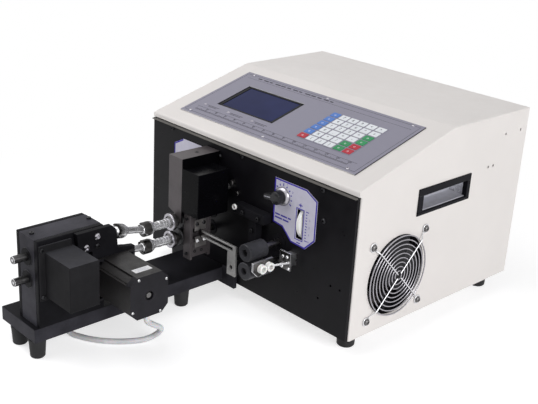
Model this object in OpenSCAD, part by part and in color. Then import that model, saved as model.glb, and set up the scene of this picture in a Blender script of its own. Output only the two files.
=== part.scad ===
// Bench machine that cuts wire to length and strips its ends.
// Wire runs along X in front of the black panel: guide rollers, inlet rollers, fork,
// blades, outlet rollers. A drive unit in front turns the outlet rollers by two joint shafts.
// X runs to the right along the front, Y to the back, Z up. Millimetres.

/* [Housing] */
// Width of the housing
house_w = 410; // [390:1:440]
// Depth from the panel's face to the rear face
house_d = 358; // [340:1:380]
// Height of the top above the table
house_h = 282; // [275:1:295]
// Height of the sloping front's lower edge above the table
front_h = 232; // [229:1:240]
// Run of the sloping front
slope_run = 178; // [172:1:190]
// Height of the rubber feet
foot_h = 25; // [22:1:28]
// Sheet metal thickness
sheet = 2; // [1.5:0.1:2.5]
// Thickness of the front panel
panel_t = 5; // [4:0.5:6]

/* [Control panel] */
// Width of the control plate
plate_w = 346; // [336:1:356]
// Height of the control plate along the slope
plate_l = 141; // [136:1:144]
// Width of one key
key_w = 13; // [11:0.5:14]

/* [Feed rollers] */
// Distance of the wire line in front of the panel
wire_y = 46; // [44:0.5:48]
// Height of the wire line above the table
wire_z = 106.75; // [105:0.25:108]
// Diameter of the four feed rollers
roller_d = 24; // [22:0.5:24.5]
// Length of the feed rollers
roller_l = 32; // [26:1:32]
// Distance of the inlet rollers from the centre
inlet_x = 74.5; // [73:0.5:77]
// Diameter of the roller shafts
shaft_d = 10; // [9:0.5:10]

/* [Blade head] */
// Depth of the head in front of the panel
head_d = 66; // [65:0.5:68]
// Travel of each blade carrier
blade_travel = 6; // [3:0.5:6]

/* [Drive unit] */
// Length of the base bar in front of the panel
base_l = 308; // [304:1:320]
// Height of the gearbox above the base bar
gear_h = 116.5; // [114:0.5:122]
// Width of the square motor
motor_w = 57; // [55:0.5:58]
// Diameter of the ball in each shaft joint
ball_d = 14; // [13:0.5:14]

/* [Hidden] */
$fn = 48;
run = 0.05;
gap = 0.3;

slope_rise = house_h - front_h;
slope_a = atan(slope_rise / slope_run);
slope_y = panel_t + slope_run;
slope_l = slope_run / cos(slope_a);
side = house_w / 2;
lip_y = 1;
lip_z = front_h - 8;
panel_w = house_w - 4;
panel_z = foot_h + 1;
panel_top = lip_z - 1;

// Fan, a standard 120 mm frame on the right side
fan_w = 120;
fan_hole = 52.5;
fan_t = 25;
fan_y = 88;
fan_z = foot_h + 72;
guard_h = 7.5;
guard_wire = 2.4;
guard_rings = 8;

// Carrying handles let into both sides
cup_y = 121.5;
cup_w = 105.5;
cup_z = 175.5;
cup_h = 29.5;
cup_deep = 30;
cup_rim = 4;
cup_t = 1.5;

// Rear inlet with switch
inlet_w = 28;
inlet_h = 58;
inlet_at = [130, 75];
rocker_z = inlet_at[1] + 14;
flange_t = 3;

// Power supply on the base tray
supply_w = 110;
supply_l = 160;
supply_h = 50;
supply_at = [-150, house_d - 178];

// Control plate on the slope
plate_t = 1.5;
plate_s = 21;
lcd_x = -plate_w * 0.22;
lcd_s = 94;
lcd_w = 117;
lcd_l = 66;
keys_x = plate_w / 4;
keys_s = 91.5;
key_n = 6;
key_l = key_w * 0.78;
key_pitch_x = 16.4;
key_pitch_s = 13;

// Feed roller axes
axis_gap = 26;
low_z = wire_z - axis_gap / 2;
high_z = wire_z + axis_gap / 2;
outlet_x = -64;
roller_y = -wire_y - roller_l / 2;
bearing_d = 22;
bearing_t = 6;
pair_teeth = 20;
pair_m = axis_gap / pair_teeth;
feed_teeth = 32;
feed_pinion_teeth = 16;
feed_motor_z = low_z - (feed_teeth + feed_pinion_teeth) / 2;
feed_motor_y = 34;

// Blade head
head_x0 = -81;
head_x1 = -52;
head_top = 212;
head_low = 136;
guide_x0 = -51;
guide_x1 = -36;
guide_back = 6;
guide_y0 = -wire_y - 16;
guide_y1 = -wire_y + 20;
guide_z0 = 68;
strip = 4;
split_y = -wire_y + 6;
cover_x1 = -17;
cover_z1 = 199;
cover_y1 = -13;
cover_t = 1.5;
pinion_teeth = 12;
pinion_r = pinion_teeth / 2;
rack_x = guide_x1 - 1;
pinion_x = rack_x + pinion_r;
pinion_z = 166;
blade_t = 1.5;
blade_open = blade_travel / 2 + 1;

// Adjusting knobs and thumbwheels, the left set mirrored
mirror_x = -6.6;
knob_x = 77;
knob_z = 186;
knob_left = -97;
wheel_x = 110;
wheel_y = panel_t + 15;
wheel_z = 157;
wheel_r = 25;
wheel_w = 8;
slot_w = 11.5;
slot_h = 41;

// Wire fork and inlet bushes
fork_t = 3;
fork_x0 = -30;
fork_x1 = 41;
fork_leg = 16;
bush_d = 12;
bush_l = 7.5;
bush_bore = 6.6;
bush_seat = 9.5;
bush_pitch = 13;
bush_mid = -wire_y - 4.3;
bush_y = [bush_mid - bush_pitch / 2, bush_mid + bush_pitch / 2];
holder_t = 3.5;
holder_x = inlet_x + 25;
holder_y0 = bush_mid - 18.7;
holder_y1 = bush_mid + 16.3;
stand_y = 15.5;

// Drive unit
base_x0 = -112;
base_x1 = -31;
base_t = 19;
base_top = foot_h + base_t;
base_foot_x = [base_x0 + 26, base_x1 - 12];
base_foot_y = [-base_l + 10, -70];
gear_x0 = -79;
gear_x1 = -30;
gear_y0 = -(base_l - 7);
gear_y1 = gear_y0 + 94;
gear_wall = 7.5;
gear_top = base_top + gear_h;
drive_x = -54.5;
drive_gap = 30;
drive_low_z = wire_z - 3.25;
drive_high_z = drive_low_z + drive_gap;
drive_teeth = 20;
drive_m = drive_gap / drive_teeth;
stub_l = 20;
motor_y = gear_y1 + 10;
motor_z = drive_low_z - 11.5;
motor_x0 = gear_x1 + 8;
motor_l = 75;
motor_cap_t = 9;
motor_eye_d = 12;
motor_plate_w = motor_w + 7;
worm_teeth = 16;
worm_m = 0.8;
worm_r = drive_low_z - motor_z - worm_m * (worm_teeth / 2 + 1.6) - 0.2;
case_y1 = gear_y1 + 23;
cube_x1 = 28;
cube_y = gear_y0 + 8;
cube_l = 41;
cube_z = 87;
cube_h = 59;

// Joint shafts between gearbox and outlet rollers
joint1_y = gear_y1 + 37;
joint2_y = joint1_y + 50;
cup_r = ball_d / 2 + 3;
joint_pin = 3;
neck_d = 9.5;
hub_y = roller_y - 14;

// Motor cable, a sleeve that lies on the table and goes up into the base bar
cable_d = 8;
cable_path = [
    [46, motor_y, motor_z - motor_w / 2],
    [45.5, motor_y + 1.5, 55.5],
    [43.5, motor_y + 5.5, 49],
    [41, motor_y + 12, 44],
    [38, motor_y + 18, 39],
    [35.5, motor_y + 24, 34.5],
    [32.5, motor_y + 30.5, 29.5],
    [29.5, motor_y + 36, 24.5],
    [25, motor_y + 39, 18.5],
    [20, motor_y + 38, 12],
    [15.5, motor_y + 33.5, 7],
    [12.5, motor_y + 27, 4.5],
    [10.5, motor_y + 19.5, 4.2],
    [7.5, motor_y + 12, 4.2],
    [3.5, motor_y + 5, 4.2],
    [-1, motor_y - 2, 4.2],
    [-6, motor_y - 8.5, 4.2],
    [-12, motor_y - 15, 4.2],
    [-18, motor_y - 21, 4.2],
    [-24.5, motor_y - 26, 4.2],
    [-31.5, motor_y - 31, 4.2],
    [-39, motor_y - 35, 4.2],
    [-46.5, motor_y - 38.5, 4.2],
    [-54, motor_y - 42, 4.5],
    [-61, motor_y - 45, 7.5],
    [-66, motor_y - 47, 13],
    [-68, motor_y - 48, 19],
    [-68, motor_y - 48, foot_h - 1]
];
gland_at = [-68, motor_y - 48];

// Centre of the whole outline, so that the frame's origin lies below it
x_mid = (guard_h - cup_t) / 2;
y_mid = (house_d + flange_t + gear_y0 - stub_l) / 2;

// Moves the machine so that the origin is below the middle of its outline.
module place() {
    translate([-x_mid, -y_mid, 0])
        children();
}

// Frame of the sloping front: x across, y up the slope, z out of it.
module on_slope() {
    translate([0, panel_t, front_h])
        rotate([slope_a, 0, 0])
            children();
}

// Mirrors the right adjusting set to the left one.
module left_side() {
    translate([2 * mirror_x, 0, 0])
        mirror([1, 0, 0])
            children();
}

module box(low, high) {
    translate(low)
        cube(high - low);
}

// Round bar along Y from y0 to y1.
module bar_y(d, y0, y1) {
    translate([0, y0, 0])
        rotate([-90, 0, 0])
            cylinder(d = d, h = y1 - y0);
}

// Round bar along X from x0 to x1.
module bar_x(d, x0, x1) {
    translate([x0, 0, 0])
        rotate([0, 90, 0])
            cylinder(d = d, h = x1 - x0);
}

// Flat plate across X from x0 to x1 with its outline given as [y, z] points.
module plate_x(x0, x1, points) {
    translate([x0, 0, 0])
        rotate([90, 0, 90])
            linear_extrude(x1 - x0)
                polygon(points);
}

// Outline of a straight-sided tooth wheel with a tooth at angle 0.
function tooth_points(n, m) = [
    for (i = [0 : n - 1])
        for (p = [[-0.29, -1.2], [-0.19, 0], [-0.09, 0.8], [0.09, 0.8], [0.19, 0], [0.29, -1.2]])
            let (a = 360 / n * (i + p[0]), r = n * m / 2 + p[1] * m)
                [r * cos(a), r * sin(a)]
];

// Tooth wheel on an axis along Y from y0 to y1, turned by a phase.
module wheel_gear(n, m, y0, y1, phase = 0) {
    translate([0, y1, 0])
        rotate([90, 0, 0])
            rotate([0, 0, phase])
                linear_extrude(y1 - y0)
                    polygon(tooth_points(n, m));
}

// Straight rack along Z with teeth towards +X and its pitch line at x = 0.
module rack(n, m, back, y0, y1) {
    pitch = PI * m;
    points = concat(
        [[-back, 0]],
        [
            for (i = [0 : n - 1])
                for (p = [[0.19, -1.2], [0.31, 0], [0.43, 0.8], [0.57, 0.8], [0.69, 0], [0.81, -1.2]])
                    [p[1] * m, (i + p[0]) * pitch]
        ],
        [[-back, n * pitch]]
    );
    translate([0, y1, 0])
        rotate([90, 0, 0])
            linear_extrude(y1 - y0)
                polygon(points);
}

// Outline with the same corner at all four ends of a square, from points in its first quadrant.
function four_corners(corner) = [
    for (k = [0 : 3])
        for (p = corner)
            [p[0] * cos(90 * k) - p[1] * sin(90 * k), p[0] * sin(90 * k) + p[1] * cos(90 * k)]
];

// Square stepping motor with its flange at z = 0 and its body along +z. A channel runs along
// each corner of the body, and the end cap is an octagon with the shaft's end in its hole.
module step_motor(length) {
    hole = motor_w * 0.4135;
    c = motor_w * 0.175;
    s = motor_w * 0.05;
    h = motor_w / 2;
    stack = four_corners([
        [h, h - c], [h - s, h - c], [h - s, h - c + 1],
        [h - c + 1, h - s], [h - c, h - s], [h - c, h]
    ]);
    cap = four_corners([[h, h - c], [h - c, h]]);
    difference() {
        union() {
            translate([0, 0, 2.5])
                cube([motor_w, motor_w, 5], center = true);
            linear_extrude(length - motor_cap_t)
                polygon(stack);
            translate([0, 0, length - motor_cap_t])
                linear_extrude(motor_cap_t)
                    polygon(cap);
        }
        for (x = [-hole, hole])
            for (y = [-hole, hole])
                translate([x, y, -1])
                    cylinder(d = 5, h = 7);
        translate([0, 0, -1])
            cylinder(d = 16, h = 9);
        translate([0, 0, length - 6])
            difference() {
                cylinder(d = motor_eye_d, h = 7);
                cylinder(d = motor_eye_d - 5, h = 4.5);
            }
    }
}

module base_tray() place() color("gainsboro") {
    difference() {
        box([-side + sheet, panel_t + sheet, foot_h], [side - sheet, house_d - sheet, foot_h + sheet]);
        for (x = [-1, 1])
            for (y = [panel_t + 28, house_d - 28])
                translate([x * (side - 28), y, foot_h - 1])
                    cylinder(d = 5, h = sheet + 2);
    }
    for (x = [-side + sheet, side - 2 * sheet])
        box(
            [x, panel_t + sheet + 8, foot_h + sheet],
            [x + sheet, house_d - sheet - 6, foot_h + sheet + 8]
        );
}

// Side outline of the cover, as [y, z] points.
function cover_outline() = [
    [panel_t, foot_h],
    [panel_t, lip_z],
    [lip_y, lip_z],
    [lip_y, front_h - (panel_t - lip_y) * tan(slope_a)],
    [slope_y, house_h],
    [house_d, house_h],
    [house_d, foot_h]
];

module cover_cavity() {
    plate_x(-side + sheet, side - sheet, [
        [lip_y + sheet, foot_h - 1],
        [lip_y + sheet, front_h - sheet - (panel_t - lip_y - sheet) * tan(slope_a)],
        [slope_y, house_h - sheet],
        [house_d + 1, house_h - sheet],
        [house_d + 1, foot_h - 1]
    ]);
}

module cover_openings() {
    translate([side - sheet - 1, fan_y, fan_z])
        bar_x(fan_w - 8, 0, sheet + 2);
    for (y = [-fan_hole, fan_hole])
        for (z = [-fan_hole, fan_hole])
            translate([side - sheet - 1, fan_y + y, fan_z + z])
                bar_x(4.4, 0, sheet + 2);
    box([-side - 1, cup_y, cup_z], [side + 1, cup_y + cup_w, cup_z + cup_h]);
    for (p = [[house_d - 54, 251.5], [house_d - 17, 251.5], [house_d - 87, 209], [house_d - 75, 209]])
        translate([side - sheet - 1, p[0], p[1]])
            bar_x(4, 0, sheet + 2);
    for (i = [0 : 11])
        box(
            [-side - 1, fan_y - 46 + i * 8, fan_z - 30],
            [-side + sheet + 1, fan_y - 42 + i * 8, fan_z + 30]
        );
    on_slope()
        box(
            [-plate_w / 2 + 14, plate_s + 12, -sheet - 2],
            [plate_w / 2 - 14, plate_s + plate_l - 12, 2]
        );
}

module cover() place() color("ivory") {
    difference() {
        plate_x(-side, side, cover_outline());
        cover_cavity();
        cover_openings();
    }
    for (x = [-side + sheet, side - sheet - 10])
        box([x, panel_t, foot_h + 14], [x + 10, panel_t + sheet, lip_z - 2]);
    for (x = [-side + sheet, side - sheet - 8])
        box([x, house_d - 2 * sheet, foot_h + 20], [x + 8, house_d - sheet, house_h - sheet]);
}

module rear_panel() place() color("ivory") {
    difference() {
        box([-side + sheet, house_d - sheet, foot_h], [side - sheet, house_d, house_h - sheet]);
        translate([inlet_at[0] - inlet_w / 2, house_d - sheet - 1, inlet_at[1] - inlet_h / 2])
            cube([inlet_w, sheet + 2, inlet_h]);
        for (i = [0 : 9])
            box([-130 + i * 9, house_d - sheet - 1, 90], [-126 + i * 9, house_d + 1, 170]);
    }
}

// Ears behind the panel that carry a thumbwheel's axle.
module wheel_ears() {
    for (x = [wheel_x - wheel_w / 2 - 3.4, wheel_x + wheel_w / 2 + 0.6])
        difference() {
            box([x, panel_t, wheel_z - 8], [x + 2.8, wheel_y + 7, wheel_z + 8]);
            translate([x - 1, wheel_y, wheel_z])
                bar_x(6 + 2 * run, 0, 5);
        }
}

// Holes that one adjusting set needs in the panel, with its knob at x.
module adjust_holes(x) {
    translate([x, 0, knob_z])
        bar_y(6 + 2 * run, -1, panel_t + 1);
    box(
        [wheel_x - slot_w / 2, -1, wheel_z - slot_h / 2],
        [wheel_x + slot_w / 2, panel_t + 1, wheel_z + slot_h / 2]
    );
}

module front_panel() place() color("#26252a") {
    difference() {
        box([-panel_w / 2, 0, panel_z], [panel_w / 2, panel_t, panel_top]);
        for (x = [inlet_x, outlet_x])
            for (z = [low_z, high_z])
                translate([x, 0, z])
                    bar_y(bearing_d, -1, panel_t + 1);
        translate([pinion_x, 0, pinion_z])
            bar_y(9, -1, panel_t + 1);
        adjust_holes(knob_x);
        left_side()
            adjust_holes(2 * mirror_x - knob_left);
        for (p = [[171, 93], [187, 93], [151, 67.5]])
            translate([p[0], 0, p[1]])
                bar_y(3.4, -1, panel_t + 1);
    }
    wheel_ears();
    left_side()
        wheel_ears();
}

module housing_feet() place() color("#1c1c1c") {
    for (x = [-1, 1])
        for (y = [panel_t + 28, house_d - 28])
            translate([x * (side - 28), y, 0]) {
                cylinder(d1 = 24, d2 = 27, h = foot_h);
                translate([0, 0, foot_h])
                    cylinder(d = 5, h = sheet);
            }
}

module control_plate() place() color("#8b8a93") {
    on_slope()
        difference() {
            box([-plate_w / 2, plate_s, 0], [plate_w / 2, plate_s + plate_l, plate_t]);
            box(
                [lcd_x - lcd_w / 2, lcd_s - lcd_l / 2, -1],
                [lcd_x + lcd_w / 2, lcd_s + lcd_l / 2, plate_t + 1]
            );
        }
}

module lcd_module() place() color("#2f3c72") {
    on_slope() {
        box(
            [lcd_x - lcd_w / 2 - 7, lcd_s - lcd_l / 2 - 7, -9],
            [lcd_x + lcd_w / 2 + 7, lcd_s + lcd_l / 2 + 7, 0]
        );
        box(
            [lcd_x - lcd_w / 2, lcd_s - lcd_l / 2, 0],
            [lcd_x + lcd_w / 2, lcd_s + lcd_l / 2, plate_t - 0.6]
        );
    }
}

module keypad() place() color("white") {
    on_slope() {
        translate([keys_x - key_pitch_x * 3, keys_s - key_pitch_s * 3, plate_t])
            cube([key_pitch_x * key_n, key_pitch_s * key_n, 0.4]);
        for (i = [0 : key_n - 1])
            for (j = [0 : key_n - 1])
                translate([
                    keys_x + (i - 2.5) * key_pitch_x,
                    keys_s + (j - 2.5) * key_pitch_s,
                    plate_t + 0.7
                ])
                    cube([key_w, key_l, 0.6], center = true);
    }
}

module fan_frame() place() color("#222222") {
    x0 = side - sheet - fan_t;
    translate([x0, fan_y, fan_z]) {
        difference() {
            box([0, -fan_w / 2, -fan_w / 2], [fan_t, fan_w / 2, fan_w / 2]);
            bar_x(fan_w - 5, -1, fan_t + 1);
            for (y = [-fan_hole, fan_hole])
                for (z = [-fan_hole, fan_hole])
                    translate([0, y, z])
                        bar_x(4.3, -1, fan_t + 1);
        }
        bar_x(40, 0, 3);
        bar_x(5, 3, fan_t - 6);
        for (a = [45 : 90 : 315])
            rotate([a, 0, 0])
                box([0, 18, -3], [3, fan_w / 2 - 2, 3]);
    }
}

module fan_impeller() place() color("#1a1a1a") {
    translate([side - sheet - fan_t, fan_y, fan_z]) {
        difference() {
            bar_x(38, 3.6, fan_t - 2);
            bar_x(5 + 2 * run, 3, fan_t - 5);
        }
        for (i = [0 : 6])
            rotate([i * 360 / 7, 0, 0])
                translate([12.5, 17.5, 0])
                    rotate([0, -38, 0])
                        box([-1, 0, -12], [1, 37, 12]);
    }
}

module fan_guard() place() color("silver") {
    translate([side, fan_y, fan_z]) {
        for (i = [0 : guard_rings - 1])
            translate([guard_h - guard_wire / 2, 0, 0])
                rotate([0, 90, 0])
                    rotate_extrude()
                        translate([9 + i * 6.6, 0])
                            circle(d = guard_wire, $fn = 24);
        for (a = [45 : 90 : 315])
            rotate([a, 0, 0]) {
                translate([guard_h - guard_wire * 1.3, 8, 0])
                    bar_y(guard_wire, 0, fan_hole * sqrt(2) - 12);
                box(
                    [0, fan_hole * sqrt(2) - 9, -1.2],
                    [guard_h - guard_wire, fan_hole * sqrt(2) - 5, 1.2]
                );
                difference() {
                    translate([0, fan_hole * sqrt(2), 0])
                        bar_x(11, 0, 2);
                    translate([0, fan_hole * sqrt(2), 0])
                        bar_x(4.4, -1, 3);
                }
            }
    }
}

// One recessed handle: rim on the right side face and a cup behind it.
module handle_cup() {
    difference() {
        union() {
            box(
                [side, cup_y - cup_rim, cup_z - cup_rim],
                [side + cup_t, cup_y + cup_w + cup_rim, cup_z + cup_h + cup_rim]
            );
            box([side - cup_deep, cup_y, cup_z], [side, cup_y + cup_w, cup_z + cup_h]);
        }
        box(
            [side - cup_deep + cup_t, cup_y + cup_t, cup_z + cup_t],
            [side + cup_t + 1, cup_y + cup_w - cup_t, cup_z + cup_h - cup_t]
        );
    }
}

module handle_cups() place() color("#303030") {
    handle_cup();
    mirror([1, 0, 0])
        handle_cup();
}

module power_inlet() place() color("#202020") {
    translate([inlet_at[0], house_d, inlet_at[1]]) {
        difference() {
            union() {
                box(
                    [-inlet_w / 2 - 5, 0, -inlet_h / 2 - 4],
                    [inlet_w / 2 + 5, flange_t, inlet_h / 2 + 4]
                );
                box([-inlet_w / 2, -30, -inlet_h / 2], [inlet_w / 2, 0, inlet_h / 2]);
            }
            box([-12, -16, -24], [12, flange_t + 1, -6]);
            box([-7.5, -14, 3], [7.5, flange_t + 1, 25]);
            translate([0, -4, 14])
                bar_x(3 + 2 * run, -10, 10);
        }
        for (p = [[-7, -17], [7, -17], [0, -13]])
            box([p[0] - 1, -16, p[1] - 2], [p[0] + 1, -2, p[1] + 2]);
    }
}

module switch_rocker() place() color("#b02020") {
    translate([inlet_at[0], house_d - 4, rocker_z]) {
        plate_x(-7, 7, [[-6, -3], [-6, 3], [4, 9.6], [6.5, 9.6], [5, 0], [5.5, -9.6], [3, -9.6]]);
        bar_x(3, -9.9, 9.9);
    }
}

module power_supply() place() color("silver") {
    translate([supply_at[0], supply_at[1], foot_h + sheet])
        cube([supply_w, supply_l, supply_h]);
}

module feed_motor() place() color("#202022") {
    translate([inlet_x, feed_motor_y, feed_motor_z])
        rotate([-90, 0, 0])
            step_motor(56);
}

module feed_pinion() place() color("silver") {
    translate([inlet_x, 0, feed_motor_z]) {
        wheel_gear(feed_pinion_teeth, 1, 20, 28, 90);
        bar_y(6.35, 28, feed_motor_y + 6);
    }
}

module motor_posts() place() color("silver") {
    hole = motor_w * 0.4135;
    for (x = [-hole, hole])
        for (z = [-hole, hole])
            translate([inlet_x + x, 0, feed_motor_z + z])
                bar_y(8, panel_t, feed_motor_y);
}

module bearing(y0) {
    difference() {
        bar_y(bearing_d, y0, y0 + bearing_t);
        bar_y(shaft_d + 2 * run, y0 - 1, y0 + bearing_t + 1);
    }
}

module bearings() place() color("silver") {
    for (x = [inlet_x, outlet_x])
        for (z = [low_z, high_z])
            translate([x, 0, z])
                bearing(panel_t - bearing_t);
    for (z = [drive_low_z, drive_high_z])
        translate([drive_x, 0, z]) {
            bearing(gear_y0 - 1.5);
            bearing(gear_y1 - bearing_t);
        }
}

// Knurled roller with its shaft's end set back in the front hole.
module feed_roller() {
    difference() {
        bar_y(roller_d, roller_y, roller_y + roller_l);
        bar_y(shaft_d, roller_y - 1, roller_y + roller_l + 1);
    }
}

module inlet_lower_shaft() place() color("silver") {
    translate([inlet_x, 0, low_z]) {
        bar_y(shaft_d, roller_y + 6, 30);
        wheel_gear(pair_teeth, pair_m, 9, 17, 9);
        wheel_gear(feed_teeth, 1, 20, 28, 90 + 180 / feed_teeth);
    }
}

module inlet_upper_shaft() place() color("silver") {
    translate([inlet_x, 0, high_z]) {
        bar_y(shaft_d, roller_y + 6, 20);
        wheel_gear(pair_teeth, pair_m, 9, 17, 0);
    }
}

module inlet_lower_roller() place() color("#3a3a3c") {
    translate([inlet_x, 0, low_z])
        feed_roller();
}

module inlet_upper_roller() place() color("#3a3a3c") {
    translate([inlet_x, 0, high_z])
        feed_roller();
}

// Direction of a joint shaft: roll about Y and tilt, for a rise over the two joints.
function link_roll(dz) = atan2(drive_x - outlet_x, -dz);
function link_tilt(dz) = atan2(norm([outlet_x - drive_x, dz]), joint2_y - joint1_y);
function link_length(dz) = norm([outlet_x - drive_x, joint2_y - joint1_y, dz]);
rise_low = low_z - drive_low_z;
rise_high = high_z - drive_high_z;

// Frame whose z runs along a joint line: a straight end shaft, or the tilted link.
module along(roll, tilt = 0) {
    rotate([0, roll, 0])
        rotate([-90 - tilt, 0, 0])
            children();
}

// Ball with its cross pin, and the neck that carries it from below.
module joint_ball(neck) {
    sphere(d = ball_d);
    rotate([0, 90, 0])
        cylinder(d = joint_pin, h = 2 * cup_r - 1, center = true);
    translate([0, 0, -neck])
        cylinder(d = neck_d, h = neck);
}

// Bell that takes a ball, with two open slots for the cross pin; it ends in a neck.
module joint_cup() {
    r = ball_d / 2 + gap;
    difference() {
        rotate_extrude()
            polygon([
                [0, -3], [cup_r, -3], [cup_r, 7.5], [cup_r - 0.6, 10], [cup_r - 1.8, 12.4],
                [cup_r - 3.6, 14.6], [neck_d / 2 + 1.2, 16.5], [0, 16.5]
            ]);
        sphere(r = r);
        translate([0, 0, -4])
            cylinder(r = sqrt(r * r - 9), h = 4);
        for (x = [-1, 1])
            translate([x * cup_r - 5, -joint_pin / 2 - 0.6, -4])
                cube([10, joint_pin + 1.2, 9.4]);
    }
}

module outlet_shaft(rise) {
    along(link_roll(rise))
        joint_cup();
    bar_y(neck_d + 1, 12, hub_y - joint2_y);
    bar_y(12, hub_y - joint2_y - 14, hub_y - joint2_y - 9);
    bar_y(25, hub_y - joint2_y, hub_y - joint2_y + 3.5);
    bar_y(18, hub_y - joint2_y + 3.5, roller_y - 4.5 - joint2_y);
    bar_y(shaft_d, roller_y - 4.5 - joint2_y, 12 - joint2_y);
}

module outlet_lower_shaft() place() color("silver") {
    translate([outlet_x, joint2_y, low_z])
        outlet_shaft(rise_low);
}

module outlet_upper_shaft() place() color("silver") {
    translate([outlet_x, joint2_y, high_z])
        outlet_shaft(rise_high);
}

module outlet_lower_roller() place() color("#3a3a3c") {
    translate([outlet_x, 0, low_z])
        feed_roller();
}

module outlet_upper_roller() place() color("#3a3a3c") {
    translate([outlet_x, 0, high_z])
        feed_roller();
}

module head_body() place() color("#6b6865") {
    box([head_x0, -head_d, head_low], [head_x1, 0, head_top]);
    translate([0, -head_d + 3, 0])
        rotate([90, 0, 0])
            linear_extrude(3)
                polygon([
                    [head_x0, head_low],
                    [head_x1, head_low],
                    [head_x1, 119],
                    [head_x1 - 5, 119.5],
                    [head_x1 - 8, 126.5],
                    [head_x0, head_low - 1]
                ]);
}

module guide_block() place() color("#77736f") {
    difference() {
        union() {
            box([guide_x0, guide_y0, guide_z0], [guide_x0 + guide_back, guide_y1, head_low]);
            box([guide_x0, guide_y0, guide_z0], [guide_x1, guide_y0 + strip, head_low - 0.5]);
            box([guide_x0, guide_y1 - strip, guide_z0], [guide_x1, guide_y1, head_low - 0.5]);
            box(
                [head_x1, guide_y0 + 4, head_low],
                [guide_x0 + guide_back, guide_y1 - 4, head_low + 24]
            );
        }
        translate([guide_x0 - 1, -wire_y, wire_z])
            bar_x(9, 0, guide_back + 2);
    }
}

module head_cover() place() color("#161618") {
    difference() {
        box([head_x1, -head_d, head_low], [cover_x1, cover_y1, cover_z1]);
        box(
            [head_x1 - 1, -head_d + cover_t, head_low - 1],
            [cover_x1 - cover_t, cover_y1 - cover_t, cover_z1 - cover_t]
        );
        translate([pinion_x, 0, pinion_z])
            bar_y(10, cover_y1 - 5, cover_y1 + 1);
    }
}

// Place in the channel of the guide that both carriers keep clear.
carrier_x0 = guide_x0 + guide_back + gap;
carrier_y0 = guide_y0 + strip + gap;
carrier_y1 = guide_y1 - strip - gap;
rack_pitch = PI;
rack_n = 9;

module upper_carrier() place() color("#8d8a86") {
    y1 = split_y - gap;
    z0 = wire_z + blade_open + 4;
    box([carrier_x0, carrier_y0, z0], [guide_x1, y1, pinion_z - 12]);
    box([carrier_x0, carrier_y0, pinion_z - 12], [rack_x - 3, y1, pinion_z - 4.5 * rack_pitch]);
    translate([rack_x, 0, pinion_z - 4.5 * rack_pitch])
        rack(rack_n, 1, rack_x - carrier_x0, carrier_y0, y1);
}

module lower_carrier() place() color("#8d8a86") {
    y0 = split_y + gap;
    far_x = rack_x + 2 * pinion_r;
    box([carrier_x0, carrier_y0, guide_z0 + 4], [guide_x1, carrier_y1, wire_z - blade_open - 4]);
    box([carrier_x0, y0, wire_z - blade_open - 4], [guide_x1, carrier_y1, head_low + 10]);
    box([guide_x1, y0, head_low + 2], [far_x + 5, carrier_y1, head_low + 10]);
    box([far_x + 1.5, y0, head_low + 10], [far_x + 5, carrier_y1, pinion_z - 4.5 * rack_pitch]);
    translate([far_x, 0, pinion_z - 4.5 * rack_pitch])
        mirror([1, 0, 0])
            rack(rack_n, 1, 5, y0, carrier_y1);
}

// Blade with a notched edge, its outline as [y, z] from the wire line, edge towards -z.
module blade_outline() {
    polygon([
        [-10, blade_open],
        [-2, blade_open],
        [0, blade_open + 2.4],
        [2, blade_open],
        [10, blade_open],
        [10, blade_open + 16],
        [-10, blade_open + 16]
    ]);
}

module upper_blade() place() color("#c9c9cc") {
    translate([guide_x1, -wire_y, wire_z])
        rotate([90, 0, 90])
            linear_extrude(blade_t)
                blade_outline();
}

module lower_blade() place() color("#c9c9cc") {
    translate([guide_x1, -wire_y, wire_z])
        rotate([90, 0, 90])
            mirror([0, 1, 0]) {
                translate([0, 0, blade_t + gap])
                    linear_extrude(blade_t)
                        blade_outline();
                linear_extrude(blade_t + gap)
                    translate([-10, blade_open + blade_travel + 3])
                        square([20, 16 - blade_travel - 3]);
            }
}

module blade_motor() place() color("#202022") {
    translate([pinion_x, panel_t, pinion_z])
        rotate([-90, 0, 0])
            step_motor(56);
}

module blade_pinion() place() color("silver") {
    translate([pinion_x, 0, pinion_z]) {
        wheel_gear(pinion_teeth, 1, carrier_y0, carrier_y1, 180 / pinion_teeth);
        bar_y(8, carrier_y1, panel_t + 6);
    }
}

// Outline of the right adjusting plate, as [x, z] points.
function adjust_outline() = [
    [60.6, 208],
    [118.7, 208],
    [138.8, 197.5],
    [138.8, 143],
    [122, 126.2],
    [96, 127.5],
    [78.6, 143.5],
    [60.8, 145.2]
];

module adjust_plate(x) {
    difference() {
        rotate([90, 0, 0])
            linear_extrude(1)
                polygon(adjust_outline());
        translate([x, 0, knob_z])
            bar_y(8, -2, 1);
        box(
            [wheel_x - slot_w / 2, -2, wheel_z - slot_h / 2],
            [wheel_x + slot_w / 2, 1, wheel_z + slot_h / 2]
        );
    }
}

module adjust_plates() place() color("#c9c8dc") {
    adjust_plate(knob_x);
    difference() {
        left_side()
            adjust_plate(2 * mirror_x - knob_left);
        box([head_x0, -2, head_low], [head_x1, 1, head_top]);
    }
}

// Pointer knob on a round skirt, with its spindle through the panel.
module pointer_knob(x) {
    translate([x, 0, knob_z]) {
        bar_y(6, -2, panel_t + 4);
        bar_y(26, -6, -1 - gap);
        bar_y(19, -16.5, -6);
        rotate([0, -6, 0])
            box([-20, -16.5, -3.5], [9.5, -6.5, 3.5]);
    }
}

module right_knob() place() color("#2a2a2c") {
    pointer_knob(knob_x);
}

module left_knob() place() color("#2a2a2c") {
    pointer_knob(knob_left);
}

module thumbwheel() {
    translate([wheel_x, wheel_y, wheel_z]) {
        bar_x(2 * wheel_r, -wheel_w / 2, wheel_w / 2);
        bar_x(6, -wheel_w / 2 - 3.4, wheel_w / 2 + 3.4);
    }
}

module right_thumbwheel() place() color("white") {
    thumbwheel();
}

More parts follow.
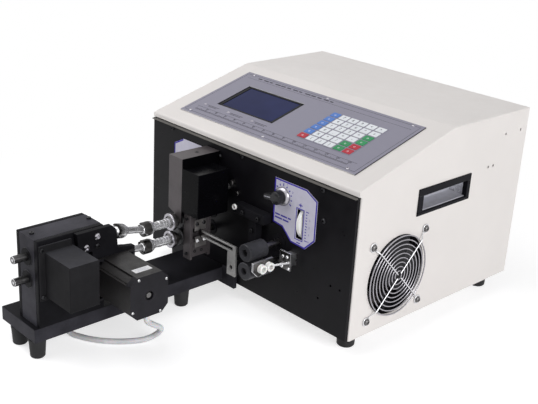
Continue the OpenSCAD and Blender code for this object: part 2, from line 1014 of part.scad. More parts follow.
module left_thumbwheel() place() color("white") {
    left_side()
        thumbwheel();
}

module guide_fork() place() color("#a5a3a0") {
    difference() {
        union() {
            box(
                [fork_x0, -wire_y - fork_t / 2, wire_z - 5],
                [fork_x1, -wire_y + fork_t / 2, wire_z + 5]
            );
            box(
                [fork_x1 - fork_leg, -wire_y - fork_t / 2, guide_z0],
                [fork_x1, -wire_y + fork_t / 2, wire_z + 5]
            );
        }
        box(
            [fork_x0 - 1, -wire_y - fork_t, wire_z - 2.5],
            [fork_x1 - 6, -wire_y + fork_t, wire_z + 2.5]
        );
        translate([fork_x1 - fork_leg / 2, -wire_y, guide_z0 + 12])
            bar_y(6, -5, 5);
    }
}

module guide_arm() place() color("#1d1d20") {
    x0 = fork_x1 - fork_leg + 1;
    x1 = fork_x1 - 1;
    box([x0, -wire_y + fork_t / 2, guide_z0 + 2], [x1, 0, guide_z0 + 24]);
    box([x0, -12, guide_z0 + 24], [x1, 0, 141]);
    box([-2, -16, 141], [58, 0, 154]);
}

// Bent bracket: a plate in front of the panel, a flat arm and the holder of the two bushes.
module inlet_bracket() place() color("#b9b8b6") {
    x0 = holder_x - holder_t;
    difference() {
        union() {
            plate_x(x0, holder_x, [
                [holder_y0, wire_z - 3], [holder_y0 + 9, wire_z - 12], [holder_y1, wire_z - 12],
                [holder_y1, wire_z + 9], [holder_y0, wire_z + 9]
            ]);
            translate([0, 0, wire_z - 1.5])
                linear_extrude(3)
                    polygon([
                        [x0, holder_y1 - 2.5], [holder_x + 4.5, holder_y1 - 2.5],
                        [holder_x + 11.5, -stand_y + 1], [x0, -stand_y + 1]
                    ]);
            box([x0 - 4, -stand_y, wire_z - 12], [holder_x + 12.5, -stand_y + 3, wire_z + 12.75]);
            box([x0, -stand_y + 3, wire_z - 8], [holder_x + 8.5, 0, wire_z + 8]);
        }
        for (y = bush_y)
            translate([0, y, wire_z])
                bar_x(bush_seat + 2 * run, x0 - 1, holder_x + 1);
    }
}

// Bush for one wire: a collar on the holder, a spigot in it and a bore right through.
module guide_bush(y) {
    translate([holder_x, y, wire_z])
        difference() {
            union() {
                bar_x(bush_d, 0, bush_l);
                bar_x(bush_seat, -holder_t, bush_l / 2);
            }
            bar_x(bush_bore, -holder_t - 1, bush_l + 1);
        }
}

module guide_bush_front() place() color("white") {
    guide_bush(bush_y[0]);
}

module guide_bush_rear() place() color("white") {
    guide_bush(bush_y[1]);
}

module drive_base() place() color("#19191b") {
    difference() {
        union() {
            box([base_x0, -base_l, foot_h], [base_x1, 0, base_top]);
            box([base_x0, -6, foot_h - 6], [-5, 0, foot_h]);
            box([base_x1, -6, foot_h], [-5, 0, base_top + 4]);
            translate([gland_at[0], gland_at[1], foot_h - 3])
                cylinder(d = 16, h = 3);
        }
        translate([gland_at[0], gland_at[1], foot_h - 4])
            cylinder(d = cable_d, h = 10);
    }
}

module drive_feet() place() color("#1c1c1c") {
    for (x = base_foot_x)
        for (y = base_foot_y)
            translate([x, y, 0])
                cylinder(d1 = 19, d2 = 22.5, h = foot_h);
}

// End walls and lid of the gearbox, with the case of the worm behind it.
module gearbox_core() place() color("#1f1f22") {
    x0 = gear_x0 + gear_wall;
    x1 = gear_x1 - gear_wall;
    difference() {
        union() {
            box([x0, gear_y0, base_top], [x1, gear_y1, gear_top]);
            box([x0, gear_y1, motor_z - 14], [gear_x1, case_y1, drive_low_z + 16]);
        }
        box([x0 - 1, gear_y0 + 10, base_top - 1], [x1 + 1, gear_y1 - 10, gear_top - 10]);
        box([x0 + 4, gear_y1 - 1, motor_z - 10], [gear_x1 - 4, case_y1 - 4, drive_low_z + 12]);
        for (z = [drive_low_z, drive_high_z])
            translate([drive_x, 0, z]) {
                bar_y(bearing_d, gear_y0 - 1, gear_y0 + bearing_t - 1.5);
                bar_y(bearing_d, gear_y1 - bearing_t, gear_y1 + 1);
                bar_y(shaft_d + 4, gear_y0 - 1, gear_y1 + 1);
            }
        translate([drive_x, 0, drive_low_z])
            bar_y(shaft_d + 1, case_y1 - 5, case_y1 + 1);
        translate([0, motor_y, motor_z])
            bar_x(10, gear_x1 - 5, gear_x1 + 1);
    }
}

module gearbox_sides() place() color("#232326") {
    for (x = [gear_x0, gear_x1 - gear_wall])
        box([x, gear_y0, base_top], [x + gear_wall, gear_y1, gear_top]);
}

module motor_plate() place() color("#1b1b1e") {
    h = motor_plate_w / 2;
    hole = motor_w * 0.4135;
    difference() {
        plate_x(gear_x1, motor_x0, [
            [motor_y - h, motor_z - h],
            [motor_y + h, motor_z - h],
            [motor_y + h, motor_z + h],
            [motor_y + 6, motor_z + h + 4],
            [motor_y + 4, gear_top - 7],
            [motor_y - 3, gear_top - 0.5],
            [motor_y - 54, gear_top - 0.5],
            [motor_y - 51, gear_top - 27],
            [motor_y - h, motor_z + h + 8]
        ]);
        translate([gear_x1 - 1, motor_y, motor_z])
            bar_x(16, 0, motor_x0 - gear_x1 + 2);
    }
}

module drive_motor() place() color("#1d1d1f") {
    translate([motor_x0, motor_y, motor_z])
        rotate([0, 90, 0])
            step_motor(motor_l);
}

// Motor shaft with its worm, whose thread is drawn as rings that run clear of the wheel.
module drive_worm() place() color("silver") {
    pitch = PI * worm_m;
    n = 5;
    x0 = drive_x - n * pitch / 2;
    points = concat(
        [[0, 0]],
        [
            for (i = [0 : n - 1])
                for (p = [[0.19, -1.2], [0.31, 0], [0.43, 0.8], [0.57, 0.8], [0.69, 0], [0.81, -1.2]])
                    [worm_r + p[1] * worm_m, (i + p[0]) * pitch]
        ],
        [[0, n * pitch]]
    );
    translate([0, motor_y, motor_z]) {
        translate([x0, 0, 0])
            rotate([0, 90, 0])
                rotate_extrude()
                    polygon(points);
        bar_x(5, x0, motor_x0 + 6);
    }
}

module cube_cover() place() color("#121214") {
    y0 = cube_y;
    difference() {
        union() {
            box([gear_x1, y0, cube_z], [cube_x1, y0 + cube_l, cube_z + cube_h]);
            box([gear_x1, y0 - 7, cube_z - 5], [gear_x1 + 3, y0 + cube_l - 3, cube_z + cube_h + 9]);
        }
        box([gear_x1 - 1, y0 + 2, cube_z + 2], [cube_x1 - 2, y0 + cube_l - 2, cube_z + cube_h - 2]);
    }
}

module drive_shaft(rise) {
    bar_y(shaft_d, gear_y0 - stub_l, joint1_y - 12);
    translate([0, joint1_y, 0])
        along(link_roll(rise))
            joint_ball(12.1);
}

module drive_lower_shaft() place() color("silver") {
    translate([drive_x, 0, drive_low_z]) {
        drive_shaft(rise_low);
        wheel_gear(drive_teeth, drive_m, gear_y0 + 38, gear_y0 + 54, 9);
        wheel_gear(worm_teeth, worm_m, motor_y - 4, motor_y + 4, 90 + 180 / worm_teeth);
    }
}

module drive_upper_shaft() place() color("silver") {
    translate([drive_x, 0, drive_high_z]) {
        drive_shaft(rise_high);
        wheel_gear(drive_teeth, drive_m, gear_y0 + 38, gear_y0 + 54, 0);
    }
}

// Tilted piece between the joints: bell at the gearbox end, ball at the roller end.
module link(rise) {
    length = link_length(rise);
    along(link_roll(rise), link_tilt(rise)) {
        joint_cup();
        translate([0, 0, length])
            joint_ball(length - 12);
    }
}

module lower_link() place() color("silver") {
    translate([drive_x, joint1_y, drive_low_z])
        link(rise_low);
}

module upper_link() place() color("silver") {
    translate([drive_x, joint1_y, drive_high_z])
        link(rise_high);
}

// Round screw head with its flat side at z = 0.
module screw_head(d, h) {
    cylinder(d = d, h = h);
}

module screws() place() color("silver") {
    for (p = [[-158, 217.5], [-6, 217], [146, 216], [151, 176]])
        translate([p[0], 0, p[1]])
            rotate([90, 0, 0])
                screw_head(7, 2);
    for (x = [-0.45, 0, 0.45])
        for (s = [6, plate_l - 6])
            on_slope()
                translate([x * plate_w, plate_s + s, plate_t])
                    screw_head(5, 1);
    for (y = [-fan_hole, fan_hole])
        for (z = [-fan_hole, fan_hole])
            translate([side + 2, fan_y + y, fan_z + z])
                rotate([0, 90, 0])
                    screw_head(8, 2.5);
    for (p = [[-25, 17.5], [-41, 6], [-25, 4.5]])
        translate([motor_x0, motor_y + p[0], gear_top - 27 + p[1]])
            rotate([0, 90, 0])
                screw_head(6, 2);
    for (z = [cube_z + 1, cube_z + cube_h + 4])
        translate([gear_x1 + 3, cube_y - 3.5, z])
            rotate([0, 90, 0])
                screw_head(5.5, 2);
    for (y = [gear_y0 + 8.5, gear_y1 - 4.5])
        translate([drive_x - 2, y, gear_top])
            screw_head(6, 2);
}

// Ring of points around a place on the cable, square to its direction.
function ring(p, i, d, sides) =
    let (
        n = len(p),
        t = p[min(i + 1, n - 1)] - p[max(i - 1, 0)],
        w = t / norm(t),
        side_way = cross(w, [0.3, 1, 0.2]),
        u = side_way / norm(side_way),
        v = cross(w, u)
    )
    [for (k = [0 : sides - 1]) p[i] + d / 2 * (cos(360 * k / sides) * u + sin(360 * k / sides) * v)];

module motor_cable() place() color("#c8c8c4") {
    sides = 10;
    n = len(cable_path);
    rings = [for (i = [0 : n - 1]) each ring(cable_path, i, cable_d - 0.4, sides)];
    skin = [
        for (i = [0 : n - 2])
            for (k = [0 : sides - 1])
                let (
                    a = i * sides + k,
                    b = i * sides + (k + 1) % sides
                )
                    each [[a, b, b + sides], [a, b + sides, a + sides]]
    ];
    first = [for (k = [sides - 1 : -1 : 0]) k];
    last = [for (k = [0 : sides - 1]) (n - 1) * sides + k];
    polyhedron(rings, concat([first], skin, [last]), convexity = 6);
}

base_tray();
cover();
rear_panel();
front_panel();
housing_feet();
control_plate();
lcd_module();
keypad();
fan_frame();
fan_impeller();
fan_guard();
handle_cups();
power_inlet();
switch_rocker();
power_supply();
feed_motor();
feed_pinion();
motor_posts();
bearings();
inlet_lower_shaft();
inlet_lower_roller();
inlet_upper_shaft();
inlet_upper_roller();
outlet_lower_shaft();
outlet_lower_roller();
outlet_upper_shaft();
outlet_upper_roller();
head_body();
guide_block();
head_cover();
upper_carrier();
lower_carrier();
upper_blade();
lower_blade();
blade_motor();
blade_pinion();
adjust_plates();
right_knob();
left_knob();
right_thumbwheel();
left_thumbwheel();
guide_fork();
guide_arm();
inlet_bracket();
guide_bush_front();
guide_bush_rear();
drive_base();
drive_feet();
gearbox_core();
gearbox_sides();
motor_plate();
drive_motor();
drive_worm();
cube_cover();
drive_lower_shaft();
drive_upper_shaft();
lower_link();
upper_link();
screws();
motor_cable();
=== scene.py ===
"""Looks of a bench machine that cuts wire to length and strips its ends.

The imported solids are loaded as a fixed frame. Every piece made here rides on one of its
bodies, and stands where the solids say. Sizes are in metres; the places of small parts are
given in millimetres from the middle of the black panel's face and from the table.
"""

import math

import bmesh
import bpy
from bpy.props import FloatProperty, FloatVectorProperty, IntProperty, PointerProperty
from mathutils import Matrix, Vector


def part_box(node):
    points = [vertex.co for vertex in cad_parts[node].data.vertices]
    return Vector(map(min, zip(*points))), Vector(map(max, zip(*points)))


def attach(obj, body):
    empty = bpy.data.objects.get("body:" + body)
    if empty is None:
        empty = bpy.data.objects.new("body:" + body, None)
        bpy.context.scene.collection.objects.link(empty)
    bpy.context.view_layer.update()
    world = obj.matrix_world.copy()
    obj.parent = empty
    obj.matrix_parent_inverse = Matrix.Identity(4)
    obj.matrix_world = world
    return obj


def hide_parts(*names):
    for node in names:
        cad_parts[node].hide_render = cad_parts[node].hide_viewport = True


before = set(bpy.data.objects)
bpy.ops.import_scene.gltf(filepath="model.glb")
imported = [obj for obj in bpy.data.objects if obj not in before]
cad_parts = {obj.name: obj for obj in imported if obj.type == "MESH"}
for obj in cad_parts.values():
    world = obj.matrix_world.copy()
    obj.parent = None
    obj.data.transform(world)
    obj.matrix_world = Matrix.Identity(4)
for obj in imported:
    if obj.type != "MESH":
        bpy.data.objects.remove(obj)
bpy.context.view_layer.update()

bl_info = {
    "name": "Wire cutting and stripping machine",
    "version": (1, 0, 0),
    "blender": (4, 5, 0),
    "location": "View3D > Sidebar > Bench machine",
    "description": "Dresses the solids of a bench machine that cuts and strips wire",
    "category": "Object",
}

PANEL_LOW, PANEL_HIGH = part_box("front_panel")
MIDDLE_X = (PANEL_LOW.x + PANEL_HIGH.x) / 2
FACE_Y = PANEL_LOW.y
MM = 0.001


def at(x, y, z):
    """Point given in millimetres from the middle of the panel's face and the table."""
    return Vector((MIDDLE_X + x * MM, FACE_Y + y * MM, z * MM))


SLOPE_FOOT, SLOPE_RISE, SLOPE_RUN = at(0, 5, 232), 50, 178
SLOPE = Matrix.Translation(SLOPE_FOOT) @ Matrix.Rotation(math.atan2(SLOPE_RISE, SLOPE_RUN), 4, "X")
RIGHT_SIDE = Matrix.Rotation(math.radians(90), 4, "Y")
TO_FRONT = Matrix.Rotation(math.radians(90), 4, "X")
TO_BACK = Matrix.Rotation(math.radians(-90), 4, "X")


def on_slope(x, s, h=0.0):
    """Matrix of a place on the sloping front: x across, s up the slope, h out of it."""
    return SLOPE @ Matrix.Translation(Vector((x, s, h)) * MM)


def stand(x, y, z, turn=TO_FRONT):
    """Matrix of a place in millimetres of the machine, its own z turned to the front or another way."""
    return Matrix.Translation(at(x, y, z)) @ turn


COLOUR = dict(subtype="COLOR", size=3, min=0, max=1)
LENGTH = dict(subtype="DISTANCE", unit="LENGTH")


class BenchFinishes(bpy.types.PropertyGroup):
    """Colours that a user would change."""

    housing: FloatVectorProperty(
        name="Housing", description="Powder coat of the housing",
        **COLOUR, default=(0.785, 0.750, 0.732))
    panel: FloatVectorProperty(
        name="Front panel", description="Paint of the front panel",
        **COLOUR, default=(0.0048, 0.0045, 0.0058))
    anodised: FloatVectorProperty(
        name="Drive unit", description="Anodised plates of the drive unit",
        **COLOUR, default=(0.0088, 0.0086, 0.0104))
    plate: FloatVectorProperty(
        name="Control plate", description="Printed film on the control plate",
        **COLOUR, default=(0.255, 0.247, 0.310))
    display: FloatVectorProperty(
        name="Display", description="Window of the display",
        **COLOUR, default=(0.014, 0.019, 0.075))
    label: FloatVectorProperty(
        name="Adjusting plates", description="Film on the adjusting plates",
        **COLOUR, default=(0.60, 0.585, 0.70))
    ink: FloatVectorProperty(
        name="Border ink", description="Borders and scales on the adjusting plates",
        **COLOUR, default=(0.045, 0.030, 0.36))


class BenchSizes(bpy.types.PropertyGroup):
    """Sizes that a user would change."""

    fold: FloatProperty(
        name="Fold radius", description="Radius of the housing's folded edges",
        **LENGTH, min=0.0005, max=0.006, default=0.0028)
    guard_wire: FloatProperty(
        name="Guard wire", description="Diameter of the fan guard's wire",
        **LENGTH, min=0.001, max=0.004, default=0.0018)
    guard_rings: IntProperty(
        name="Guard rings", description="Number of rings in the fan guard",
        min=3, max=12, default=9)
    wheel_ribs: IntProperty(
        name="Thumbwheel ribs", description="Number of ribs round a thumbwheel",
        min=12, max=120, default=64)
    cable: FloatProperty(
        name="Motor cable", description="Diameter of the motor cable's sleeve",
        **LENGTH, min=0.004, max=0.012, default=0.0076)


def finishes():
    return bpy.context.scene.bench_finishes


def sizes():
    return bpy.context.scene.bench_sizes


# Node trees and materials


class Nodes:
    """A node tree under construction, with short ways to add and join its nodes."""

    def __init__(self, tree):
        self.tree = tree

    def feed(self, place, value):
        """Joins a socket to an input, or sets the input to a plain value."""
        if isinstance(value, bpy.types.NodeSocket):
            self.tree.links.new(value, place)
        else:
            place.default_value = value

    def add(self, kind, *feeds, **values):
        """New node. Feeds go to its inputs in order; a small name is a setting, a capital one an input."""
        made = self.tree.nodes.new(kind)
        for key, value in values.items():
            if key.islower():
                setattr(made, key, value)
        for place, value in zip(made.inputs, feeds):
            self.feed(place, value)
        for key, value in values.items():
            if not key.islower():
                self.feed(made.inputs[key.replace("_", " ")], value)
        return made

    def calc(self, operation, *feeds):
        """Result of a calculation on numbers and sockets."""
        return self.add("ShaderNodeMath", *feeds, operation=operation).outputs[0]


SHADER_INPUTS = {
    "colour": "Base Color", "metal": "Metallic", "rough": "Roughness", "specular": "Specular IOR Level",
    "coat": "Coat Weight", "coat_rough": "Coat Roughness", "under": "Subsurface Weight",
    "under_scale": "Subsurface Scale",
}


def shade(colour, factor):
    return tuple(min(1.0, c * factor) for c in colour)


class Finish(Nodes):
    """A material under construction."""

    def __init__(self, name, **values):
        self.material = bpy.data.materials.new(name)
        self.material.use_nodes = True
        super().__init__(self.material.node_tree)
        self.shader = self.tree.nodes["Principled BSDF"]
        for key, value in values.items():
            self.feed(self.shader.inputs[SHADER_INPUTS[key]], (*value, 1.0) if key == "colour" else value)

    def coords(self, scale=(1, 1, 1), kind="Object"):
        """Coordinates in the piece, or on its UV map, stretched by a scale."""
        source = self.add("ShaderNodeTexCoord").outputs[kind]
        return self.add("ShaderNodeMapping", Vector=source, Scale=scale).outputs["Vector"]

    def noise(self, vector, scale, detail=3.0, rough=0.55):
        made = self.add("ShaderNodeTexNoise", Vector=vector, Scale=scale, Detail=detail, Roughness=rough)
        return made.outputs["Fac"]

    def bands(self, vector, way, **values):
        """Straight bands across one direction."""
        made = self.add("ShaderNodeTexWave", wave_type="BANDS", bands_direction=way, Vector=vector, **values)
        return made.outputs["Fac"]

    def between(self, fac, low, high, start=0.3, end=0.7):
        """Number from low to high as fac goes from start to end."""
        made = self.add("ShaderNodeMapRange", Value=fac, From_Min=start, From_Max=end,
                        To_Min=low, To_Max=high)
        return made.outputs["Result"]

    def colour_by(self, fac, colour, dark, light, start=0.3, end=0.7):
        """Colour from its darker to its lighter shade as fac goes from start to end."""
        ramp = self.add("ShaderNodeValToRGB", Fac=fac)
        for stop, place, factor in zip(ramp.color_ramp.elements, (start, end), (dark, light)):
            stop.position = place
            stop.color = (*shade(colour, factor), 1)
        self.feed(self.shader.inputs["Base Color"], ramp.outputs["Color"])

    def rough_by(self, fac, low, high):
        self.feed(self.shader.inputs["Roughness"], self.between(fac, low, high))

    def bump(self, height, strength, distance):
        """Last touch of a finish: bumps its surface and gives the material."""
        made = self.add("ShaderNodeBump", Height=height, Strength=strength, Distance=distance)
        self.feed(self.shader.inputs["Normal"], made.outputs["Normal"])
        return self.material


def powder_coat(name, colour):
    """Smooth cream paint with a faint orange peel and a slow drift of tone."""
    f = Finish(name, colour=colour, rough=0.42, specular=0.45)
    v = f.coords()
    f.colour_by(f.noise(v, 7, 4), colour, 0.965, 1.02)
    f.rough_by(f.noise(v, 60, 3), 0.36, 0.50)
    return f.bump(f.noise(v, 900, 2), 0.10, 0.0002)


def satin_paint(name, colour, rough=0.38, grain=1500, lift=1.6, gloss=0.10):
    """Dark satin coat: fine grain, small scuffs and a drift of gloss."""
    f = Finish(name, colour=colour, rough=rough, specular=gloss)
    v = f.coords()
    f.colour_by(f.noise(v, 22, 6, 0.65), colour, 1, lift, 0.38, 0.75)
    f.rough_by(f.noise(v, 45, 5), rough - 0.07, rough + 0.12)
    return f.bump(f.noise(v, grain, 2), 0.12, 0.00012)


def anodised(name, colour, along=(1, 12, 12), lighter=1):
    """Anodised plate with the faint lines of milling under the coat; lighter gives a lighter copy of the
    colour, used as painted light.
    """
    colour = shade(colour, lighter)
    f = Finish(name, colour=colour, rough=0.36, specular=0.03)
    lines = f.noise(f.coords(along), 160, 4)
    f.colour_by(f.noise(f.coords(), 18, 5, 0.6), colour, 0.8, 1.8, 0.35, 0.75)
    f.rough_by(lines, 0.28, 0.48)
    return f.bump(lines, 0.10, 0.0001)


def brushed(name, colour, rough, along, metal=1.0):
    """Ground or drawn metal with fine lines along one direction and darker handling marks."""
    f = Finish(name, colour=colour, metal=metal, rough=rough)
    lines = f.noise(f.coords(along), 170, 5, 0.65)
    marks = f.noise(f.coords(), 38, 5, 0.6)
    f.colour_by(f.calc("ADD", lines, marks), colour, 0.75, 1.12, 0.75, 1.25)
    f.rough_by(lines, rough - 0.08, rough + 0.14)
    return f.bump(lines, 0.14, 0.00012)


def bright_metal(name, colour, rough, metal=1.0):
    """Polished or plated metal with faint cloudy handling marks."""
    f = Finish(name, colour=colour, metal=metal, rough=rough)
    cloud = f.noise(f.coords(), 90, 4)
    f.colour_by(cloud, colour, 0.86, 1.06)
    f.rough_by(cloud, max(0.04, rough - 0.07), rough + 0.12)
    return f.material


def turned_metal(name, colour, rough, metal):
    """Turned part: fine rings along its length, from its own UV map."""
    f = Finish(name, colour=colour, metal=metal, rough=rough)
    rings = f.noise(f.coords((0.2, 2600, 1), "UV"), 1.0, 3, 0.7)
    f.colour_by(f.noise(f.coords(), 70, 4), colour, 0.80, 1.08)
    f.rough_by(rings, rough - 0.06, rough + 0.14)
    return f.bump(rings, 0.18, 0.00006)


KNURL_COUNT = 72
KNURL_RISE = 6000


def knurled(name, colour):
    """Blackened steel with a fine diamond knurl, from the piece's own UV map."""
    f = Finish(name, colour=colour, metal=0.65, rough=0.42)
    parts = f.add("ShaderNodeSeparateXYZ", f.coords(kind="UV")).outputs
    waves = []
    for way in (1, -1):
        around = f.calc("MULTIPLY", parts["X"], way * KNURL_COUNT * 2 * math.pi)
        waves.append(f.calc("SINE", f.calc("MULTIPLY_ADD", parts["Y"], KNURL_RISE, around)))
    diamond = f.calc("ADD", *waves)
    f.colour_by(f.between(diamond, 0, 1, -1.5, 1.8), colour, 0.45, 1.9, 0, 1)
    f.rough_by(f.noise(f.coords(), 120, 3), 0.34, 0.52)
    return f.bump(diamond, 0.35, 0.00018)


def rubber(name, colour):
    """Matt moulded rubber with a coarse grain."""
    f = Finish(name, colour=colour, rough=0.72, specular=0.35)
    v = f.coords()
    f.colour_by(f.noise(v, 60, 5), colour, 0.8, 2.0, 0.35, 0.8)
    return f.bump(f.noise(v, 700, 3), 0.3, 0.0002)


def plastic(name, colour, rough, grain=900, strength=0.08, drift=0.06, under=0.0, gloss=0.25):
    """Moulded plastic with a fine spark-eroded grain."""
    f = Finish(name, colour=colour, rough=rough, specular=gloss, under=under, under_scale=0.002)
    v = f.coords()
    f.colour_by(f.noise(v, 30, 4), colour, 1 - drift, 1 + drift)
    f.rough_by(f.noise(v, 75, 4), max(0.05, rough - 0.06), rough + 0.08)
    return f.bump(f.noise(v, grain, 2), strength, 0.0001)


def printed_film(name, colour, along=(1, 30, 30)):
    """Film printed on aluminium: faint brushing under a satin coat."""
    f = Finish(name, colour=colour, rough=0.36, specular=0.2, metal=0.05, coat=0.05, coat_rough=0.3)
    f.colour_by(f.noise(f.coords(along), 120, 4, 0.7), colour, 0.95, 1.05)
    f.rough_by(f.noise(f.coords(), 40, 4), 0.30, 0.42)
    return f.bump(f.noise(f.coords(), 1500, 2), 0.05, 0.00008)


def display_glass(name, colour):
    """Dark blue display behind glass, with its fine dots and a slow drift of light."""
    f = Finish(name, colour=colour, rough=0.16, specular=0.05, coat=0.02, coat_rough=0.08)
    f.colour_by(f.noise(f.coords(), 14, 2), colour, 0.82, 1.22)
    return f.bump(f.bands(f.coords(), "X", Scale=420.0), 0.03, 0.00005)


def laminations(name, colour):
    """Edge of a stack of thin iron sheets under dark varnish, lines across the motor's axis."""
    f = Finish(name, colour=colour, rough=0.42, metal=0.35)
    lines = f.bands(f.coords(), "X", Scale=310.0, Distortion=0.4)
    f.colour_by(lines, colour, 0.55, 1.3, 0.2, 0.8)
    f.rough_by(f.noise(f.coords(), 60, 4), 0.34, 0.55)
    return f.bump(lines, 0.35, 0.00015)


def sleeve(name, colour):
    """Milky ribbed sleeve of the motor cable, ribs from its own UV map."""
    f = Finish(name, colour=colour, rough=0.38, under=0.25, under_scale=0.003, specular=0.45)
    f.colour_by(f.noise(f.coords(), 45, 4), colour, 0.8, 1.08, 0.3, 0.65)
    return f.bump(f.bands(f.coords(kind="UV"), "Y", Scale=60.0), 0.35, 0.0003)


# A finish is its maker, its colour or the name of the user's colour, and the maker's own values
PRINT = dict(grain=900, strength=0.05)
KEY_CAP = dict(rough=0.34, grain=1200, strength=0.06)
FINISHES = {
    "cream_coat": (powder_coat, "housing", {}),
    "panel_black": (satin_paint, "panel", dict(rough=0.34)),
    # Grey-brown of the wedge along the top of the front panel: painted shade where the cover's fold is in
    # shadow.
    "panel_edge": (satin_paint, (0.105, 0.100, 0.094), dict(rough=0.42, grain=1300, lift=1.3)),
    "cover_black": (satin_paint, (0.0020, 0.0019, 0.0026), dict(rough=0.18, grain=700, lift=1.3, gloss=0.05)),
    "cube_black": (satin_paint, (0.0150, 0.0148, 0.0162), dict(rough=0.42, grain=1300, lift=1.5, gloss=0.02)),
    # Lighter copy of the cube's black for its top faces: painted sheen where the top catches the bright
    # surroundings.
    "cube_dust": (satin_paint, (0.036, 0.036, 0.041), dict(rough=0.46, grain=1300, lift=1.4, gloss=0.05)),
    "motor_black": (satin_paint, (0.0130, 0.0125, 0.0155), dict(rough=0.36, grain=1100)),
    "roller_dark": (satin_paint, (0.027, 0.027, 0.031), dict(rough=0.30, grain=900, lift=1.8, gloss=0.22)),
    "anodised_black": (anodised, "anodised", {}),
    # Anodised black made 3.4 times lighter for the base bar's sides: painted light, while its top keeps the
    # plain black as painted shade.
    "anodised_base": (anodised, "anodised", dict(lighter=3.4)),
    # Anodised black made 4.8 times lighter for the gearbox lid: painted sheen of the lid's top under the
    # light.
    "anodised_lid": (anodised, "anodised", dict(lighter=4.8, along=(12, 1, 12))),
    "motor_stack": (laminations, (0.018, 0.0165, 0.0170), {}),
    "ground_steel": (brushed, (0.074, 0.065, 0.069), dict(rough=0.42, along=(14, 14, 1), metal=0.5)),
    "drawn_steel": (brushed, (0.46, 0.455, 0.45), dict(rough=0.42, along=(1, 14, 14))),
    "zinc_sheet": (brushed, (0.55, 0.56, 0.58), dict(rough=0.36, along=(9, 1, 9))),
    "turned_steel": (turned_metal, (0.74, 0.74, 0.76), dict(rough=0.22, metal=0.75)),
    "knurl_dark": (knurled, (0.060, 0.060, 0.064), {}),
    "bright_steel": (bright_metal, (0.72, 0.72, 0.74), dict(rough=0.30)),
    "satin_silver": (bright_metal, (0.74, 0.74, 0.76), dict(rough=0.24, metal=0.75)),
    "dark_collar": (bright_metal, (0.060, 0.058, 0.056), dict(rough=0.34)),
    "stub_steel": (bright_metal, (0.10, 0.098, 0.10), dict(rough=0.30)),
    "gun_steel": (bright_metal, (0.16, 0.155, 0.155), dict(rough=0.28)),
    "cup_steel": (bright_metal, (0.58, 0.58, 0.64), dict(rough=0.36, metal=0.25)),
    "guard_wire": (bright_metal, (0.40, 0.39, 0.42), dict(rough=0.24)),
    "blade_steel": (bright_metal, (0.22, 0.208, 0.205), dict(rough=0.36, metal=0.7)),
    "plated": (bright_metal, (0.78, 0.78, 0.80), dict(rough=0.10)),
    "screw_steel": (bright_metal, (0.60, 0.60, 0.61), dict(rough=0.18)),
    "screw_black": (bright_metal, (0.035, 0.035, 0.038), dict(rough=0.34)),
    "brass": (bright_metal, (0.70, 0.50, 0.22), dict(rough=0.25)),
    "rubber_black": (rubber, (0.012, 0.012, 0.013), {}),
    "fan_black": (plastic, (0.013, 0.013, 0.016), dict(rough=0.42)),
    "frame_black": (plastic, (0.0058, 0.0054, 0.0082),
                    dict(rough=0.40, grain=1000, strength=0.16, drift=0.2, gloss=0.07)),
    "inlet_black": (plastic, (0.016, 0.016, 0.018), dict(rough=0.36)),
    "rocker_red": (plastic, (0.46, 0.018, 0.016), dict(rough=0.26)),
    "nylon_white": (plastic, (0.92, 0.92, 0.90),
                    dict(rough=0.36, grain=600, strength=0.10, drift=0.02, under=0.05)),
    "knob_black": (plastic, (0.020, 0.020, 0.022), dict(rough=0.18, grain=500, strength=0.06, drift=0.2)),
    "display_rim": (plastic, (0.0045, 0.0045, 0.0065), dict(rough=0.32, gloss=0.08)),
    "lamp_lens": (plastic, (0.42, 0.40, 0.46), dict(rough=0.20)),
    "paper_white": (plastic, (0.78, 0.78, 0.80), dict(rough=0.50, grain=1400, strength=0.06, drift=0.02)),
    "border_ink": (plastic, "ink", dict(rough=0.40, **PRINT)),
    "dark_ink": (plastic, (0.035, 0.033, 0.050), dict(rough=0.45, **PRINT)),
    "pale_ink": (plastic, (0.50, 0.50, 0.56), dict(rough=0.45, **PRINT)),
    "key_white": (plastic, (0.78, 0.80, 0.84), dict(drift=0.03, **KEY_CAP)),
    "key_blue": (plastic, (0.080, 0.20, 0.56), dict(drift=0.04, **KEY_CAP)),
    "key_green": (plastic, (0.022, 0.26, 0.090), dict(drift=0.05, **KEY_CAP)),
    "key_red": (plastic, (0.44, 0.020, 0.040), dict(drift=0.05, **KEY_CAP)),
    "plate_film": (printed_film, "plate", {}),
    "label_film": (printed_film, "label", dict(along=(1, 1, 1))),
    "display_blue": (display_glass, "display", {}),
    "cable_sleeve": (sleeve, (0.74, 0.74, 0.77), {}),
}
MADE = {}


def finish_of(name):
    """The material for a finish, made once."""
    if name not in MADE:
        maker, colour, values = FINISHES[name]
        if isinstance(colour, str):
            colour = tuple(getattr(finishes(), colour))
        MADE[name] = maker(name, colour, **values)
    return MADE[name]


# Mesh helpers

SHARP = math.radians(40)
SAME_SPOT = Matrix.Identity(4)


def new_object(name, mesh):
    made = bpy.data.objects.new(name, mesh)
    bpy.context.scene.collection.objects.link(made)
    return made


def mesh_of(name, bm):
    """Mesh of a finished bmesh."""
    mesh = bpy.data.meshes.new(name)
    bm.to_mesh(mesh)
    bm.free()
    return mesh


def bake(piece):
    """Puts the mesh that the live modifiers make in their place."""
    bpy.context.view_layer.update()
    graph = bpy.context.evaluated_depsgraph_get()
    shape = piece.evaluated_get(graph)
    mesh = bpy.data.meshes.new_from_object(shape, preserve_all_data_layers=True, depsgraph=graph)
    old = piece.data
    piece.modifiers.clear()
    piece.data = mesh
    mesh.name = piece.name
    bpy.data.meshes.remove(old)
    return piece


